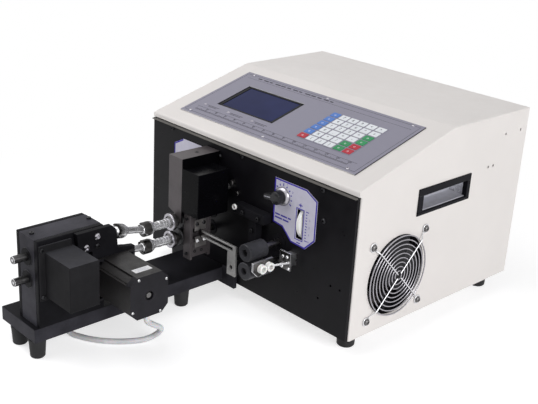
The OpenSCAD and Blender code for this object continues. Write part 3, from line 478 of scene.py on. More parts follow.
def ease(piece, width, segments=2, angle=32):
    """Rounds the sharp edges and weights the normals, so that flat faces stay flat."""
    if width > 0:
        bevel = piece.modifiers.new("eased", "BEVEL")
        bevel.width = width
        bevel.segments = segments
        bevel.limit_method = "ANGLE"
        bevel.angle_limit = math.radians(angle)
        bevel.use_clamp_overlap = True
        bake(piece)
    piece.data.shade_smooth()
    piece.data.set_sharp_from_angle(angle=SHARP)
    weighted = piece.modifiers.new("weighted", "WEIGHTED_NORMAL")
    weighted.keep_sharp = True
    return bake(piece)


def put(name, bm, body, looks, width=0.0, segments=2, slot=None, stands_for=(), angle=32):
    """Makes a finished piece from a bmesh: materials, eased edges and its body; slot is not used."""
    bmesh.ops.remove_doubles(bm, verts=bm.verts, dist=1e-7)
    mesh = mesh_of(name, bm)
    for look in looks:
        mesh.materials.append(finish_of(look))
    piece = ease(new_object(name, mesh), width, segments, angle)
    return settle(piece, body, stands_for)


def build(name, looks, parts, body="machine", **rest):
    """Piece of several shapes; a part is the function that shapes it and that function's values."""
    bm = bmesh.new()
    for shape, *values in parts:
        shape(bm, *values)
    return put(name, bm, body, looks, **rest)


def settle(piece, body, stands_for=()):
    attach(piece, body)
    if stands_for:
        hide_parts(*stands_for)
    return piece


def block(bm, low, high, look=0):
    """Box between two corners in millimetres of the machine."""
    a, b = at(*low), at(*high)
    made = bmesh.ops.create_cube(bm, size=1.0)
    for v in made["verts"]:
        v.co = Vector([a[i] + (v.co[i] + 0.5) * (b[i] - a[i]) for i in range(3)])
    for face in {f for v in made["verts"] for f in v.link_faces}:
        face.material_index = look


def prism(bm, outline, bottom, top, place, look=0):
    """Upright prism on an outline of (x, y) points in millimetres, put in place by a matrix."""
    rings = [[bm.verts.new(place @ (Vector((x, y, h)) * MM)) for x, y in outline] for h in (bottom, top)]
    faces = [bm.faces.new(list(reversed(rings[0]))), bm.faces.new(rings[1])]
    n = len(outline)
    for i in range(n):
        j = (i + 1) % n
        faces.append(bm.faces.new((rings[0][i], rings[0][j], rings[1][j], rings[1][i])))
    for face in faces:
        face.material_index = look
    bmesh.ops.recalc_face_normals(bm, faces=faces)


def bar(x0, x1, y0, y1):
    """Outline of a rectangle between two corners."""
    return [(x0, y0), (x1, y0), (x1, y1), (x0, y1)]


def mid_bar(x, y, width, height):
    """Outline of a rectangle about its middle."""
    return bar(x - width / 2, x + width / 2, y - height / 2, y + height / 2)


def rounded(width, length, radius, steps=4):
    """Outline of a rectangle with round corners about the origin."""
    points = []
    for cx, cy, start in ((1, 1, 0), (-1, 1, 90), (-1, -1, 180), (1, -1, 270)):
        for i in range(steps + 1):
            a = math.radians(start + 90 * i / steps)
            points.append((cx * (width / 2 - radius) + radius * math.cos(a),
                           cy * (length / 2 - radius) + radius * math.sin(a)))
    return points


def turned(bm, profile, place, steps=48, look=0):
    """Turns (radius, height) points in millimetres about z; writes a UV map round and along."""
    uv = bm.loops.layers.uv.verify()
    along = [0.0]
    for (r0, h0), (r1, h1) in zip(profile, profile[1:]):
        along.append(along[-1] + math.hypot(r1 - r0, h1 - h0) * MM)
    rings = []
    for r, h in profile:
        ring = []
        for k in range(1 if r < 1e-6 else steps):
            a = 2 * math.pi * k / steps
            ring.append(bm.verts.new(place @ Vector((r * MM * math.cos(a), r * MM * math.sin(a), h * MM))))
        rings.append(ring)
    faces = []
    for i in range(len(profile) - 1):
        a, b = rings[i], rings[i + 1]
        for k in range(steps):
            j = (k + 1) % steps
            corners = {}
            for vert, turn, height in ((a[k % len(a)], k, i), (a[j % len(a)], k + 1, i),
                                       (b[j % len(b)], k + 1, i + 1), (b[k % len(b)], k, i + 1)):
                corners.setdefault(vert, (turn / steps, along[height]))
            if len(corners) < 3:
                continue
            face = bm.faces.new(list(corners))
            face.material_index = look
            for loop, spot in zip(face.loops, corners.values()):
                loop[uv].uv = spot
            faces.append(face)
    bmesh.ops.recalc_face_normals(bm, faces=faces)


def rod(bm, points, radius, sides=12, closed=False):
    """Round rod through points in metres; writes a UV map round and along."""
    uv = bm.loops.layers.uv.verify()
    n = len(points)
    rings, along, side = [], [0.0], None
    for i, p in enumerate(points):
        before = points[i - 1] if i or closed else p
        after = points[(i + 1) % n] if i < n - 1 or closed else p
        way = (after - before).normalized()
        if side is None:
            side = way.orthogonal().normalized()
        side = (side - way * side.dot(way)).normalized()
        other = way.cross(side)
        ring = []
        for k in range(sides):
            a = 2 * math.pi * k / sides
            ring.append(bm.verts.new(p + radius * (math.cos(a) * side + math.sin(a) * other)))
        rings.append(ring)
        if i:
            along.append(along[-1] + (p - points[i - 1]).length)
    faces = []
    for i in range(n if closed else n - 1):
        a, b = rings[i], rings[(i + 1) % n]
        v0 = along[i]
        v1 = along[i + 1] if i + 1 < n else along[-1] + (points[0] - points[-1]).length
        for k in range(sides):
            j = (k + 1) % sides
            face = bm.faces.new((a[k], a[j], b[j], b[k]))
            for loop, (turn, height) in zip(face.loops, ((k, v0), (k + 1, v0), (k + 1, v1), (k, v1))):
                loop[uv].uv = (turn / sides, height)
            faces.append(face)
    if not closed:
        for ring in (list(reversed(rings[0])), rings[-1]):
            faces.append(bm.faces.new(ring))
    bmesh.ops.recalc_face_normals(bm, faces=faces)


def curve_through(points, count):
    """Smooth line through points, count pieces between each two of them."""
    n = len(points)
    line = []
    for i in range(n - 1):
        a, b, c, d = points[max(i - 1, 0)], points[i], points[i + 1], points[min(i + 2, n - 1)]
        for k in range(count):
            t = k / count
            square = 2 * a - 5 * b + 4 * c - d
            cube = 3 * b - a - 3 * c + d
            line.append(0.5 * (2 * b + (c - a) * t + square * t * t + cube * t ** 3))
    return line + [points[-1]]


def node_copy(node):
    """Bmesh with a copy of a CAD node, merged and with flat faces joined."""
    bm = bmesh.new()
    bm.from_mesh(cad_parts[node].data)
    bmesh.ops.remove_doubles(bm, verts=bm.verts, dist=1e-6)
    bmesh.ops.dissolve_limit(bm, angle_limit=math.radians(0.6), verts=bm.verts, edges=bm.edges)
    for face in bm.faces:
        face.material_index = 0
    return bm


def dress(node, look, width, body="machine", slot=None, segments=2, choose=None, looks=()):
    """Stands a copy of a CAD node with eased edges in its place; choose picks a face's finish."""
    bm = node_copy(node)
    if choose:
        for face in bm.faces:
            face.material_index = choose(face)
    return put(node + "_dressed", bm, body, (look, *looks), width, segments, slot, (node,))


def paint(look, *nodes):
    """Gives CAD nodes a finished material and leaves their shape."""
    for node in nodes:
        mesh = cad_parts[node].data
        mesh.materials.clear()
        mesh.materials.append(finish_of(look))


# Geometry Nodes trees


def new_tree(name, *inputs):
    """Nodes of a new tree and the sockets of its inputs, which are (name, kind of socket)."""
    tree = bpy.data.node_groups.new(name, "GeometryNodeTree")
    for label, kind in (("Geometry", "Geometry"), *inputs, ("Finish", "Material")):
        tree.interface.new_socket(label, in_out="INPUT", socket_type="NodeSocket" + kind)
    tree.interface.new_socket("Geometry", in_out="OUTPUT", socket_type="NodeSocketGeometry")
    return Nodes(tree), tree.nodes.new("NodeGroupInput").outputs


def close_tree(nodes, given, geometry):
    """Realizes the copies and sets their material, so that the export keeps them."""
    real = nodes.add("GeometryNodeRealizeInstances", geometry)
    look = nodes.add("GeometryNodeSetMaterial", Geometry=real.outputs[0], Material=given["Finish"])
    nodes.add("NodeGroupOutput", look.outputs[0])
    return nodes.tree


def scatter_tree():
    """Copies of one part on points, each facing the way its point says."""
    nodes, given = new_tree("part_on_points", ("Part", "Object"), ("Size", "Float"))
    part = nodes.add("GeometryNodeObjectInfo", Object=given["Part"])
    facing = nodes.add("GeometryNodeInputNamedAttribute", data_type="FLOAT_VECTOR", Name="facing")
    turn = nodes.add("FunctionNodeAlignRotationToVector", axis="Z", Vector=facing.outputs["Attribute"])
    copies = nodes.add("GeometryNodeInstanceOnPoints", Points=given["Geometry"], Scale=given["Size"],
                       Instance=part.outputs["Geometry"], Rotation=turn.outputs["Rotation"])
    return close_tree(nodes, given, copies.outputs[0])


MARK_HEIGHT = 0.00012
LONGER_MARKS = ((5, 0.35), (10, 0.45))


def tick_tree():
    """Row of scale marks along x, with every fifth and tenth one longer."""
    nodes, given = new_tree("scale_marks", ("Count", "Int"), ("Pitch", "Float"), ("Width", "Float"),
                            ("Length", "Float"))
    pitch = nodes.add("ShaderNodeCombineXYZ", X=given["Pitch"])
    row = nodes.add("GeometryNodeMeshLine", Count=given["Count"], Offset=pitch.outputs[0])
    shape = nodes.add("ShaderNodeCombineXYZ", X=given["Width"], Y=given["Length"], Z=MARK_HEIGHT)
    mark = nodes.add("GeometryNodeMeshCube", Size=shape.outputs[0])
    lift = nodes.add("ShaderNodeCombineXYZ", Y=nodes.calc("MULTIPLY", given["Length"], 0.5))
    stand = nodes.add("GeometryNodeTransform", Geometry=mark.outputs["Mesh"], Translation=lift.outputs[0])
    index = nodes.add("GeometryNodeInputIndex").outputs[0]
    longer = 1.0
    for every, more in LONGER_MARKS:
        hit = nodes.calc("LESS_THAN", nodes.calc("MODULO", index, every), 0.5)
        longer = nodes.calc("MULTIPLY", nodes.calc("MULTIPLY_ADD", hit, more, 1.0), longer)
    scale = nodes.add("ShaderNodeCombineXYZ", X=1.0, Y=longer, Z=1.0)
    copies = nodes.add("GeometryNodeInstanceOnPoints", Points=row.outputs["Mesh"],
                       Instance=stand.outputs["Geometry"], Scale=scale.outputs[0])
    return close_tree(nodes, given, copies.outputs[0])


def ring_tree():
    """Flat nest of round wire rings about z."""
    nodes, given = new_tree("wire_rings", ("Count", "Int"), ("First", "Float"), ("Step", "Float"),
                            ("Wire", "Float"))
    row = nodes.add("GeometryNodeMeshLine", Count=given["Count"], Offset=(0, 0, 0))
    circle = nodes.add("GeometryNodeCurvePrimitiveCircle", Resolution=96, Radius=1.0)
    index = nodes.add("GeometryNodeInputIndex").outputs[0]
    radius = nodes.calc("MULTIPLY_ADD", index, given["Step"], given["First"])
    copies = nodes.add("GeometryNodeInstanceOnPoints", Points=row.outputs["Mesh"],
                       Instance=circle.outputs["Curve"], Scale=radius)
    real = nodes.add("GeometryNodeRealizeInstances", copies.outputs[0])
    half = nodes.calc("MULTIPLY", given["Wire"], 0.5)
    section = nodes.add("GeometryNodeCurvePrimitiveCircle", Resolution=10, Radius=half)
    wire = nodes.add("GeometryNodeCurveToMesh", Curve=real.outputs[0], Profile_Curve=section.outputs["Curve"])
    return close_tree(nodes, given, wire.outputs[0])


def rib_tree():
    """Ribs set round a rim about z, each one a small box with its length along z."""
    nodes, given = new_tree("rim_ribs", ("Count", "Int"), ("Radius", "Float"), ("Rib", "Vector"))
    rim = nodes.add("GeometryNodeMeshCircle", Vertices=given["Count"], Radius=given["Radius"])
    rib = nodes.add("GeometryNodeMeshCube", Size=given["Rib"])
    spot = nodes.add("GeometryNodeInputPosition").outputs[0]
    turn = nodes.add("FunctionNodeAlignRotationToVector", axis="X", pivot_axis="Z", Vector=spot)
    copies = nodes.add("GeometryNodeInstanceOnPoints", Points=rim.outputs["Mesh"],
                       Instance=rib.outputs["Mesh"], Rotation=turn.outputs["Rotation"])
    return close_tree(nodes, given, copies.outputs[0])


TREE_MAKERS = {"scatter": scatter_tree, "ticks": tick_tree, "rings": ring_tree, "ribs": rib_tree}
TREES = {}


def grow(name, tree_name, mesh, place, **values):
    """Object whose mesh a tree makes from its named inputs, put in place and made plain."""
    if tree_name not in TREES:
        TREES[tree_name] = TREE_MAKERS[tree_name]()
    tree = TREES[tree_name]
    piece = new_object(name, mesh or bpy.data.meshes.new(name))
    modifier = piece.modifiers.new("nodes", "NODES")
    modifier.node_group = tree
    for item in tree.interface.items_tree:
        if item.item_type == "SOCKET" and item.in_out == "INPUT" and item.name in values:
            modifier[item.identifier] = values[item.name]
    bake(piece)
    piece.data.transform(place)
    piece.data.shade_smooth()
    piece.data.set_sharp_from_angle(angle=SHARP)
    return piece


def points_mesh(name, spots, way):
    """Mesh of single points that all face one way."""
    mesh = bpy.data.meshes.new(name)
    mesh.from_pydata([tuple(spot) for spot in spots], [], [])
    facing = mesh.attributes.new("facing", "FLOAT_VECTOR", "POINT")
    facing.data.foreach_set("vector", [*Vector(way).normalized()] * len(spots))
    return mesh


# Profiles of screw heads of 1 mm diameter, from the middle of the underside to the middle of the top
HEADS = {
    "pan": [(0, 0), (0.50, 0), (0.50, 0.10), (0.46, 0.22), (0.34, 0.31), (0.16, 0.34), (0, 0.34)],
    "button": [(0, 0), (0.5, 0), (0.5, 0.162), (0.30, 0.36), (0, 0.36)],
    "cap": [(0, 0), (0.5, 0), (0.5, 0.46), (0.44, 0.52), (0, 0.52)],
}
CROSS_HALF, CROSS_REACH, CROSS_DEPTH = 0.055, 0.24, 0.20
SOCKET_RADIUS, SOCKET_SHARE = 0.25, 0.55


def recess_outline(kind):
    """Cross of a pan head, or hexagon of the other heads."""
    if kind != "pan":
        turns = [math.radians(60 * k) for k in range(6)]
        return [(SOCKET_RADIUS * math.cos(a), SOCKET_RADIUS * math.sin(a)) for a in turns]
    arm = [(CROSS_HALF, CROSS_HALF), (CROSS_HALF, CROSS_REACH), (-CROSS_HALF, CROSS_REACH)]
    outline = []
    for _ in range(4):
        outline += arm
        arm = [(-y, x) for x, y in arm]
    return outline


def screw_head(kind):
    """Template of a screw head of 1 mm diameter, its underside at z 0: pan, button or cap."""
    bm = bmesh.new()
    turned(bm, HEADS[kind], SAME_SPOT, 24)
    bmesh.ops.remove_doubles(bm, verts=bm.verts, dist=1e-9)
    head = new_object("head_" + kind, mesh_of("head_" + kind, bm))
    top = HEADS[kind][-1][1]
    depth = CROSS_DEPTH if kind == "pan" else top * SOCKET_SHARE
    cut = bmesh.new()
    prism(cut, recess_outline(kind), top - depth, top + 0.2, SAME_SPOT)
    cutter = new_object("recess", mesh_of("recess", cut))
    boolean = head.modifiers.new("recess", "BOOLEAN")
    boolean.operation = "DIFFERENCE"
    boolean.solver = "EXACT"
    boolean.object = cutter
    bake(head)
    bpy.data.objects.remove(cutter)
    return head


def screws(name, kind, diameter, spots, way, look, body="machine", stands_for=()):
    """Screw heads of one kind on spots of a surface, facing out of it."""
    head = screw_head(kind)
    piece = grow(name, "scatter", points_mesh(name, spots, way), SAME_SPOT,
                 Part=head, Size=diameter / MM, Finish=finish_of(look))
    bpy.data.objects.remove(head)
    return settle(piece, body, stands_for)


# Pieces

LOWER_Z, UPPER_Z = 93.75, 119.75
WIRE_Z = (LOWER_Z + UPPER_Z) / 2
GEAR_LOWER_Z, GEAR_UPPER_Z = 103.5, 133.5
LEVELS = (("lower", LOWER_Z, GEAR_LOWER_Z), ("upper", UPPER_Z, GEAR_UPPER_Z))
INLET_X, OUTLET_X, GEAR_X = 74.5, -64, -54.5
ROLLER_Y, HUB_Y, SLEEVE_Y, JOINT_Y, GEAR_JOINT_Y, GEAR_FRONT_Y = -62, -76, -103, -120, -170, -301
MOTOR_Y, MOTOR_Z = -197, 92
FAN_X, FAN_Y, FAN_Z = 205, 88, 97
FAN_SCREW = 52.5
OUT_RIGHT, OUT_FRONT, OUT_BACK, OUT_UP = (1, 0, 0), (0, -1, 0), (0, 1, 0), (0, 0, 1)
OUT_OF_SLOPE = SLOPE.to_3x3() @ Vector(OUT_UP)
CABLE_ROUTE = [
    (46, -197, 63.5), (45.5, -195.5, 55.5), (43.5, -191.5, 49), (41, -185, 44), (38, -179, 39),
    (35.5, -173, 34.5), (32.5, -166.5, 29.5), (29.5, -161, 24.5), (25, -158, 18.5), (20, -159, 12),
    (15.5, -163.5, 7), (12.5, -170, 4.5), (10.5, -177.5, 4.2), (7.5, -185, 4.2), (3.5, -192, 4.2),
    (-1, -199, 4.2), (-6, -205.5, 4.2), (-12, -212, 4.2), (-18, -218, 4.2), (-24.5, -223, 4.2),
    (-31.5, -228, 4.2), (-39, -232, 4.2), (-46.5, -235.5, 4.2), (-54, -239, 4.5), (-61, -242, 7.5),
    (-66, -244, 13), (-68, -245, 19), (-68, -245, 24),
]


def make_cable():
    """Sleeve of the motor cable: out of the motor, along the table, up into the base bar."""
    points = curve_through([at(*p) for p in CABLE_ROUTE], 4)
    piece = build("motor_cable_sleeve", ("cable_sleeve",), [(rod, points, sizes().cable / 2, 16)],
                  slot="sleeve_grey", stands_for=("motor_cable",))


LONG_EDGE, WIDE_EDGE = 0.03, 0.3
HOLE_MARGIN, HOLE_TOP = 0.02, 0.23


def cover_edges(bm):
    """Long outer edges of the cover, which are folds and get the larger radius."""
    low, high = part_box("cover")
    inside = Vector((MIDDLE_X, (low.y + high.y) / 2, 0.15))

    def in_hole(p):
        return min(abs(p.y - low.y), abs(p.y - high.y)) > HOLE_MARGIN and p.z < HOLE_TOP

    chosen = []
    for e in bm.edges:
        if len(e.link_faces) != 2 or e.calc_face_angle(0) < math.radians(10) or e.calc_length() < LONG_EDGE:
            continue
        if any(f.normal.dot(f.calc_center_median() - inside) < 0 for f in e.link_faces):
            continue
        ends = [v.co for v in e.verts]
        on_side = all(min(abs(p.x - low.x), abs(p.x - high.x)) < 1e-5 for p in ends)
        across = abs(ends[0].x - ends[1].x) > WIDE_EDGE
        raised = any(abs(p.z - low.z) > 1e-4 for p in ends)
        if (across or on_side and raised) and not (on_side and all(in_hole(p) for p in ends)):
            chosen.append(e)
    return chosen


HOUSING_FOOT = [(0, 25), (13.5, 25), (13.5, 22), (12.6, 20.5), (12.0, 1.6), (10.6, 0), (4, 0), (4, 4), (0, 4)]
DRIVE_FOOT = [(0, 25), (11.25, 25), (11.25, 22.5), (10.8, 21), (9.5, 1.5), (8.4, 0), (3.6, 0), (3.6, 4),
              (0, 4)]
# Section of a thin wedge along the top of the front panel, put where the cover's fold is in shadow, as
# painted shade.
PANEL_SHADE_WEDGE = [(-223, 0.2), (-221.6, -4), (-221.2, -4), (-221, 0.2)]
PANEL_HALF = 203


def make_housing():
    """Folded cover, rear panel, tray, black front panel with a grey-brown wedge along its top whose colour is
    painted shade under the cover's fold, and feet.
    """
    bm = node_copy("cover")
    bmesh.ops.bevel(bm, geom=cover_edges(bm), offset=sizes().fold, offset_type="OFFSET", segments=4,
                    profile=0.5, affect="EDGES", clamp_overlap=True)
    put("cover_dressed", bm, "machine", ("cream_coat",), 0.0004, 2, "cream_paint", ("cover",))
    dress("rear_panel", "cream_coat", 0.0005, slot="cream_paint")
    dress("base_tray", "cream_coat", 0.0004, slot="cream_paint")
    dress("front_panel", "panel_black", 0.0008, slot="black_panel", segments=3)
    # Wedge along the panel's top edge in a grey-brown: painted shade under the cover's fold.
    shade_wedge = (prism, PANEL_SHADE_WEDGE, -PANEL_HALF, PANEL_HALF, stand(0, 0, 0, RIGHT_SIDE))
    build("panel_top_edge", ("panel_edge",), [shade_wedge], width=0.0001, slot="black_panel")
    for node, profile, across, back in (("housing_feet", HOUSING_FOOT, (-177, 177), (33, 330)),
                                        ("drive_feet", DRIVE_FOOT, (-86, -43), (-298, -70))):
        feet = [(turned, profile, Matrix.Translation(at(x, y, 0)), 40) for x in across for y in back]
        build(node + "_dressed", ("rubber_black",), feet, width=0.0004, slot="rubber_black",
              stands_for=(node,), angle=50)


def letters(name, words, place, height, look):
    """Flat figures on a surface; words is a list of (text, matrix of its middle)."""
    bm = bmesh.new()
    for text, where in words:
        curve = bpy.data.curves.new(name, "FONT")
        curve.body = text
        curve.size = height
        curve.align_x = "CENTER"
        curve.align_y = "CENTER"
        curve.extrude = 0.00006
        curve.resolution_u = 2
        holder = new_object(name + "_text", curve)
        bpy.context.view_layer.update()
        mesh = bpy.data.meshes.new_from_object(holder.evaluated_get(bpy.context.evaluated_depsgraph_get()))
        mesh.transform(place @ where)
        bm.from_mesh(mesh)
        bpy.data.objects.remove(holder)
        bpy.data.meshes.remove(mesh)
    return put(name, bm, "machine", (look,))


PLATE_TOP = 1.5
PLATE_LINES = ((-168, 168, 26, 26.5), (-168, 168, 156.4, 156.9), (-168, -167.5, 26, 156.9),
               (167.5, 168, 26, 156.9), (-158, 158, 42.6, 43.0), (-160, 160, 146.5, 146.9))
LEGENDS = ((-132, 51.2, 26), (-81, 51.2, 26), (-30, 51.2, 26),
           (-132, 48.6, 18), (-81, 48.6, 22), (-30, 48.6, 20))
TITLE_X, TITLE_PITCH, TITLE_COUNT = -141, 12.5, 13
TITLE_WIDTHS = (8, 10, 6, 11, 9)
LAMP = [(0, 1.5), (2.4, 1.5), (2.4, 2.0), (1.6, 2.9), (0, 3.2)]
RULER_X = -153


def make_control_plate():
    """Printed plate on the slope with its lines, legends, ruler and lamps."""
    # The plate's right-facing edge takes the near-black of the display rim as a painted shadow along its
    # edge; its other edges are bare drawn steel.
    dress("control_plate", "plate_film", 0.0004, slot="plate_grey",
          choose=lambda f: 0 if f.normal.dot(OUT_OF_SLOPE) > 0.9 else 2 if f.normal.x > 0.9 else 1,
          looks=("drawn_steel", "display_rim"))
    lines = [(prism, bar(*line), PLATE_TOP, PLATE_TOP + 0.08, SLOPE) for line in PLATE_LINES]
    build("plate_lines", ("dark_ink",), lines, slot="plate_grey")
    words = [mid_bar(x, s, width, 0.9) for x, s, width in LEGENDS]
    for i in range(TITLE_COUNT):
        x = TITLE_X + i * TITLE_PITCH
        words.append(bar(x, x + TITLE_WIDTHS[i % len(TITLE_WIDTHS)], 150.4, 152.9))
    build("plate_legends", ("dark_ink",),
          [(prism, word, PLATE_TOP, PLATE_TOP + 0.07, SLOPE) for word in words], slot="plate_grey")
    marks = grow("ruler_marks", "ticks", None, on_slope(RULER_X, 33.5, 1.55), Count=151, Pitch=0.002,
                 Width=0.0007, Length=0.0030, Finish=finish_of("dark_ink"))
    settle(marks, "machine")
    letters("ruler_figures", [(str(10 * i), Matrix.Translation((0.02 * i, 0, 0))) for i in range(1, 16)],
            on_slope(RULER_X, 40.4, 1.58), 0.0042, "dark_ink")
    lamps = [(turned, LAMP, on_slope(x, 50.4), 24) for x in (-149, -98, -47)]
    build("plate_lamps", ("lamp_lens",), lamps, slot="plate_grey")


DISPLAY_X, DISPLAY_HALF = -76.12, 58.5
DISPLAY_LOW, DISPLAY_HIGH = 61, 127


def make_display():
    """Blue window in a black rim."""
    left, right = DISPLAY_X - DISPLAY_HALF, DISPLAY_X + DISPLAY_HALF
    parts = [(prism, bar(left, right, DISPLAY_LOW, DISPLAY_HIGH), -9, -0.4, SLOPE, 1),
             (prism, rounded(104, 59, 0.8, 3), -0.4, 0.35, on_slope(-75.5, 94), 0)]
    for edges in ((left, left + 6.5, DISPLAY_LOW, DISPLAY_HIGH),
                  (right - 5.5, right, DISPLAY_LOW, DISPLAY_HIGH),
                  (left, right, DISPLAY_LOW, DISPLAY_LOW + 3.5),
                  (left, right, DISPLAY_HIGH - 3.5, DISPLAY_HIGH)):
        parts.append((prism, bar(*edges), -0.4, 0.9, SLOPE, 1))
    build("display_window", ("display_blue", "display_rim"), parts, width=0.0002, slot="display_blue",
          stands_for=("lcd_module",))


KEYPAD_X, KEYPAD_S = 86.5, 91.5
KEY_ROWS = ["BWWWWW", "BWWWWW", "BWWWWG", "BWWWWG", "BWWWGR", "RWWWGR"]
KEY_LOOKS = {"W": "white", "B": "blue", "G": "green", "R": "red"}
KEY_SIGNS = ["o789<>", "o456^v", "o123+o", "o0.=-o", "o%*/oo", "o()|oo"]


def key_spots(wanted):
    """Sign and place of every key whose colour is wanted, from the middle of the keypad."""
    return [(KEY_SIGNS[j][i], Vector(((i - 2.5) * 16.4, (2.5 - j) * 13, 0)) * MM)
            for j, row in enumerate(KEY_ROWS) for i, colour in enumerate(row) if colour in wanted]


def make_keys():
    """Key film, keys in four colours and the signs on them."""
    film = (prism, rounded(98.4, 78, 1.5), PLATE_TOP, 1.9, on_slope(KEYPAD_X, KEYPAD_S))
    build("key_film", ("plate_film",), [film], width=0.0001, slot="key_film", stands_for=("keypad",))
    key = bmesh.new()
    prism(key, rounded(13.9, 10.8, 1.1, 3), 0, 0.8, SAME_SPOT)
    holder = ease(new_object("key", mesh_of("key", key)), 0.00035)
    for colour, look in KEY_LOOKS.items():
        name = "keys_" + look
        spots = [spot for _, spot in key_spots(colour)]
        piece = grow(name, "scatter", points_mesh(name, spots, OUT_UP), on_slope(KEYPAD_X, KEYPAD_S, 1.85),
                     Part=holder, Size=1.0, Finish=finish_of("key_" + look))
        settle(piece, "machine")
    bpy.data.objects.remove(holder)
    for name, colours, height, look in (("key_figures", "W", 0.0068, "dark_ink"),
                                        ("key_marks", "BGR", 0.0060, "paper_white")):
        signs = [(sign, Matrix.Translation(spot)) for sign, spot in key_spots(colours)]
        letters(name, signs, on_slope(KEYPAD_X, KEYPAD_S, 2.68), height, look)


FAN_HUB = [(0, -3.6), (17.4, -3.6), (19, -5.2), (19, -23.4), (17, -23.4), (17, -6), (0, -6)]
HUB_DEPTH = 14.5
BLADES, BLADE_ROWS, BLADE_STEPS = 7, 8, 6
BLADE_ROOT, BLADE_TIP, BLADE_HALF = 18.4, 54.0, 0.7
SWEEP, SWEEP_START, SWEEP_RUN, SWEEP_POWER = 0.30, 18, 36, 1.3
CHORD_ROOT, CHORD_GAIN = 25, 5
PITCH_ROOT, PITCH_LOSS, FLATTEN, CAMBER = 40, 12, 0.9, 1.6
SPOKE = [(4.2, 6.2), (20, 6.2), (40, 6.2), (55.5, 6.2), (59.0, 5.4), (62.2, 3.6), (64.8, 1.7), (67.2, 1.2)]
EYE_RADIUS, EYE_HEIGHT, EYE_STEPS = 5.6, 1.2, 28
RING_FIRST, RING_LAST, RING_OUT = 6.5 * MM, 55.5 * MM, 0.0044


def fan_blade(bm, middle, turn):
    """One swept and twisted blade, as two skins joined round their rim."""
    rows = []
    for j in range(BLADE_ROWS + 1):
        out = j / BLADE_ROWS
        r = BLADE_ROOT + (BLADE_TIP - BLADE_ROOT) * out
        sweep = SWEEP * ((r - SWEEP_START) / SWEEP_RUN) ** SWEEP_POWER
        chord = CHORD_ROOT + CHORD_GAIN * out
        pitch = math.radians(PITCH_ROOT - PITCH_LOSS * out)
        row = []
        for k in range(BLADE_STEPS + 1):
            t = k / BLADE_STEPS - 0.5
            x = -t * chord * math.sin(pitch) * FLATTEN + CAMBER * (1 - 4 * t * t)
            row.append((x, r, sweep + t * chord * math.cos(pitch) / r))
        rows.append(row)

    def corner(x, r, a):
        return bm.verts.new(middle + turn @ (Vector((x, r * math.cos(a), r * math.sin(a))) * MM))

    skins = [[[corner(x + lift, r, a) for x, r, a in row] for row in rows]
             for lift in (-BLADE_HALF, BLADE_HALF)]
    faces = []
    for skin in skins:
        for j in range(BLADE_ROWS):
            for k in range(BLADE_STEPS):
                quad = (skin[j][k], skin[j][k + 1], skin[j + 1][k + 1], skin[j + 1][k])
                faces.append(bm.faces.new(quad))
    rim = [(0, k) for k in range(BLADE_STEPS)] + [(j, BLADE_STEPS) for j in range(BLADE_ROWS)]
    rim += [(BLADE_ROWS - j, BLADE_STEPS - k) for j, k in rim]
    for (a, b), (c, d) in zip(rim, rim[1:] + rim[:1]):
        faces.append(bm.faces.new((skins[0][a][b], skins[0][c][d], skins[1][c][d], skins[1][a][b])))
    bmesh.ops.recalc_face_normals(bm, faces=faces)


def make_fan():
    """Hub, blades and the wire guard in front of them."""
    paint("fan_black", "fan_frame")
    out = stand(FAN_X, FAN_Y, FAN_Z, RIGHT_SIDE)
    hub_middle = at(FAN_X - HUB_DEPTH, FAN_Y, FAN_Z)
    turns = [Matrix.Rotation(2 * math.pi * i / BLADES, 3, "X") for i in range(BLADES)]
    build("fan_blades", ("fan_black",),
          [(turned, FAN_HUB, out)] + [(fan_blade, hub_middle, turn) for turn in turns],
          "fan", slot="fan_black", stands_for=("fan_impeller",))
    count = sizes().guard_rings
    wire = sizes().guard_wire
    step = (RING_LAST - RING_FIRST) / (count - 1)
    rings = grow("guard_rings", "rings", None, out @ Matrix.Translation((0, 0, RING_OUT)), Count=count,
                 First=RING_FIRST, Step=step, Wire=wire, Finish=finish_of("guard_wire"))
    settle(rings, "machine")
    rods = []
    for i in range(4):
        place = out @ Matrix.Rotation(math.radians(45 + 90 * i), 4, "Z")
        spoke = [place @ (Vector((r, 0, h)) * MM) for r, h in SPOKE]
        rods.append((rod, curve_through(spoke, 5), wire / 2, 10))
        eye = []
        for k in range(EYE_STEPS):
            a = 2 * math.pi * k / EYE_STEPS
            across = FAN_SCREW * math.sqrt(2) - EYE_RADIUS * math.cos(a)
            eye.append(place @ (Vector((across, EYE_RADIUS * math.sin(a), EYE_HEIGHT)) * MM))
        rods.append((rod, eye, wire / 2, 10, True))
    build("guard_spokes", ("satin_silver",), rods, slot="chrome_wire", stands_for=("fan_guard",))


SIDE_X = 205
FRAME_NEAR, FRAME_FAR, FRAME_LOW, FRAME_TOP = 117.5, 231.0, 171.5, 209.0
FRAME_SILL, FRAME_HEAD = FRAME_LOW + 4.6, FRAME_TOP - 9.5
FRAME_OUT, CUP_DEEP, CUP_OUT = 1.5, 30, -2


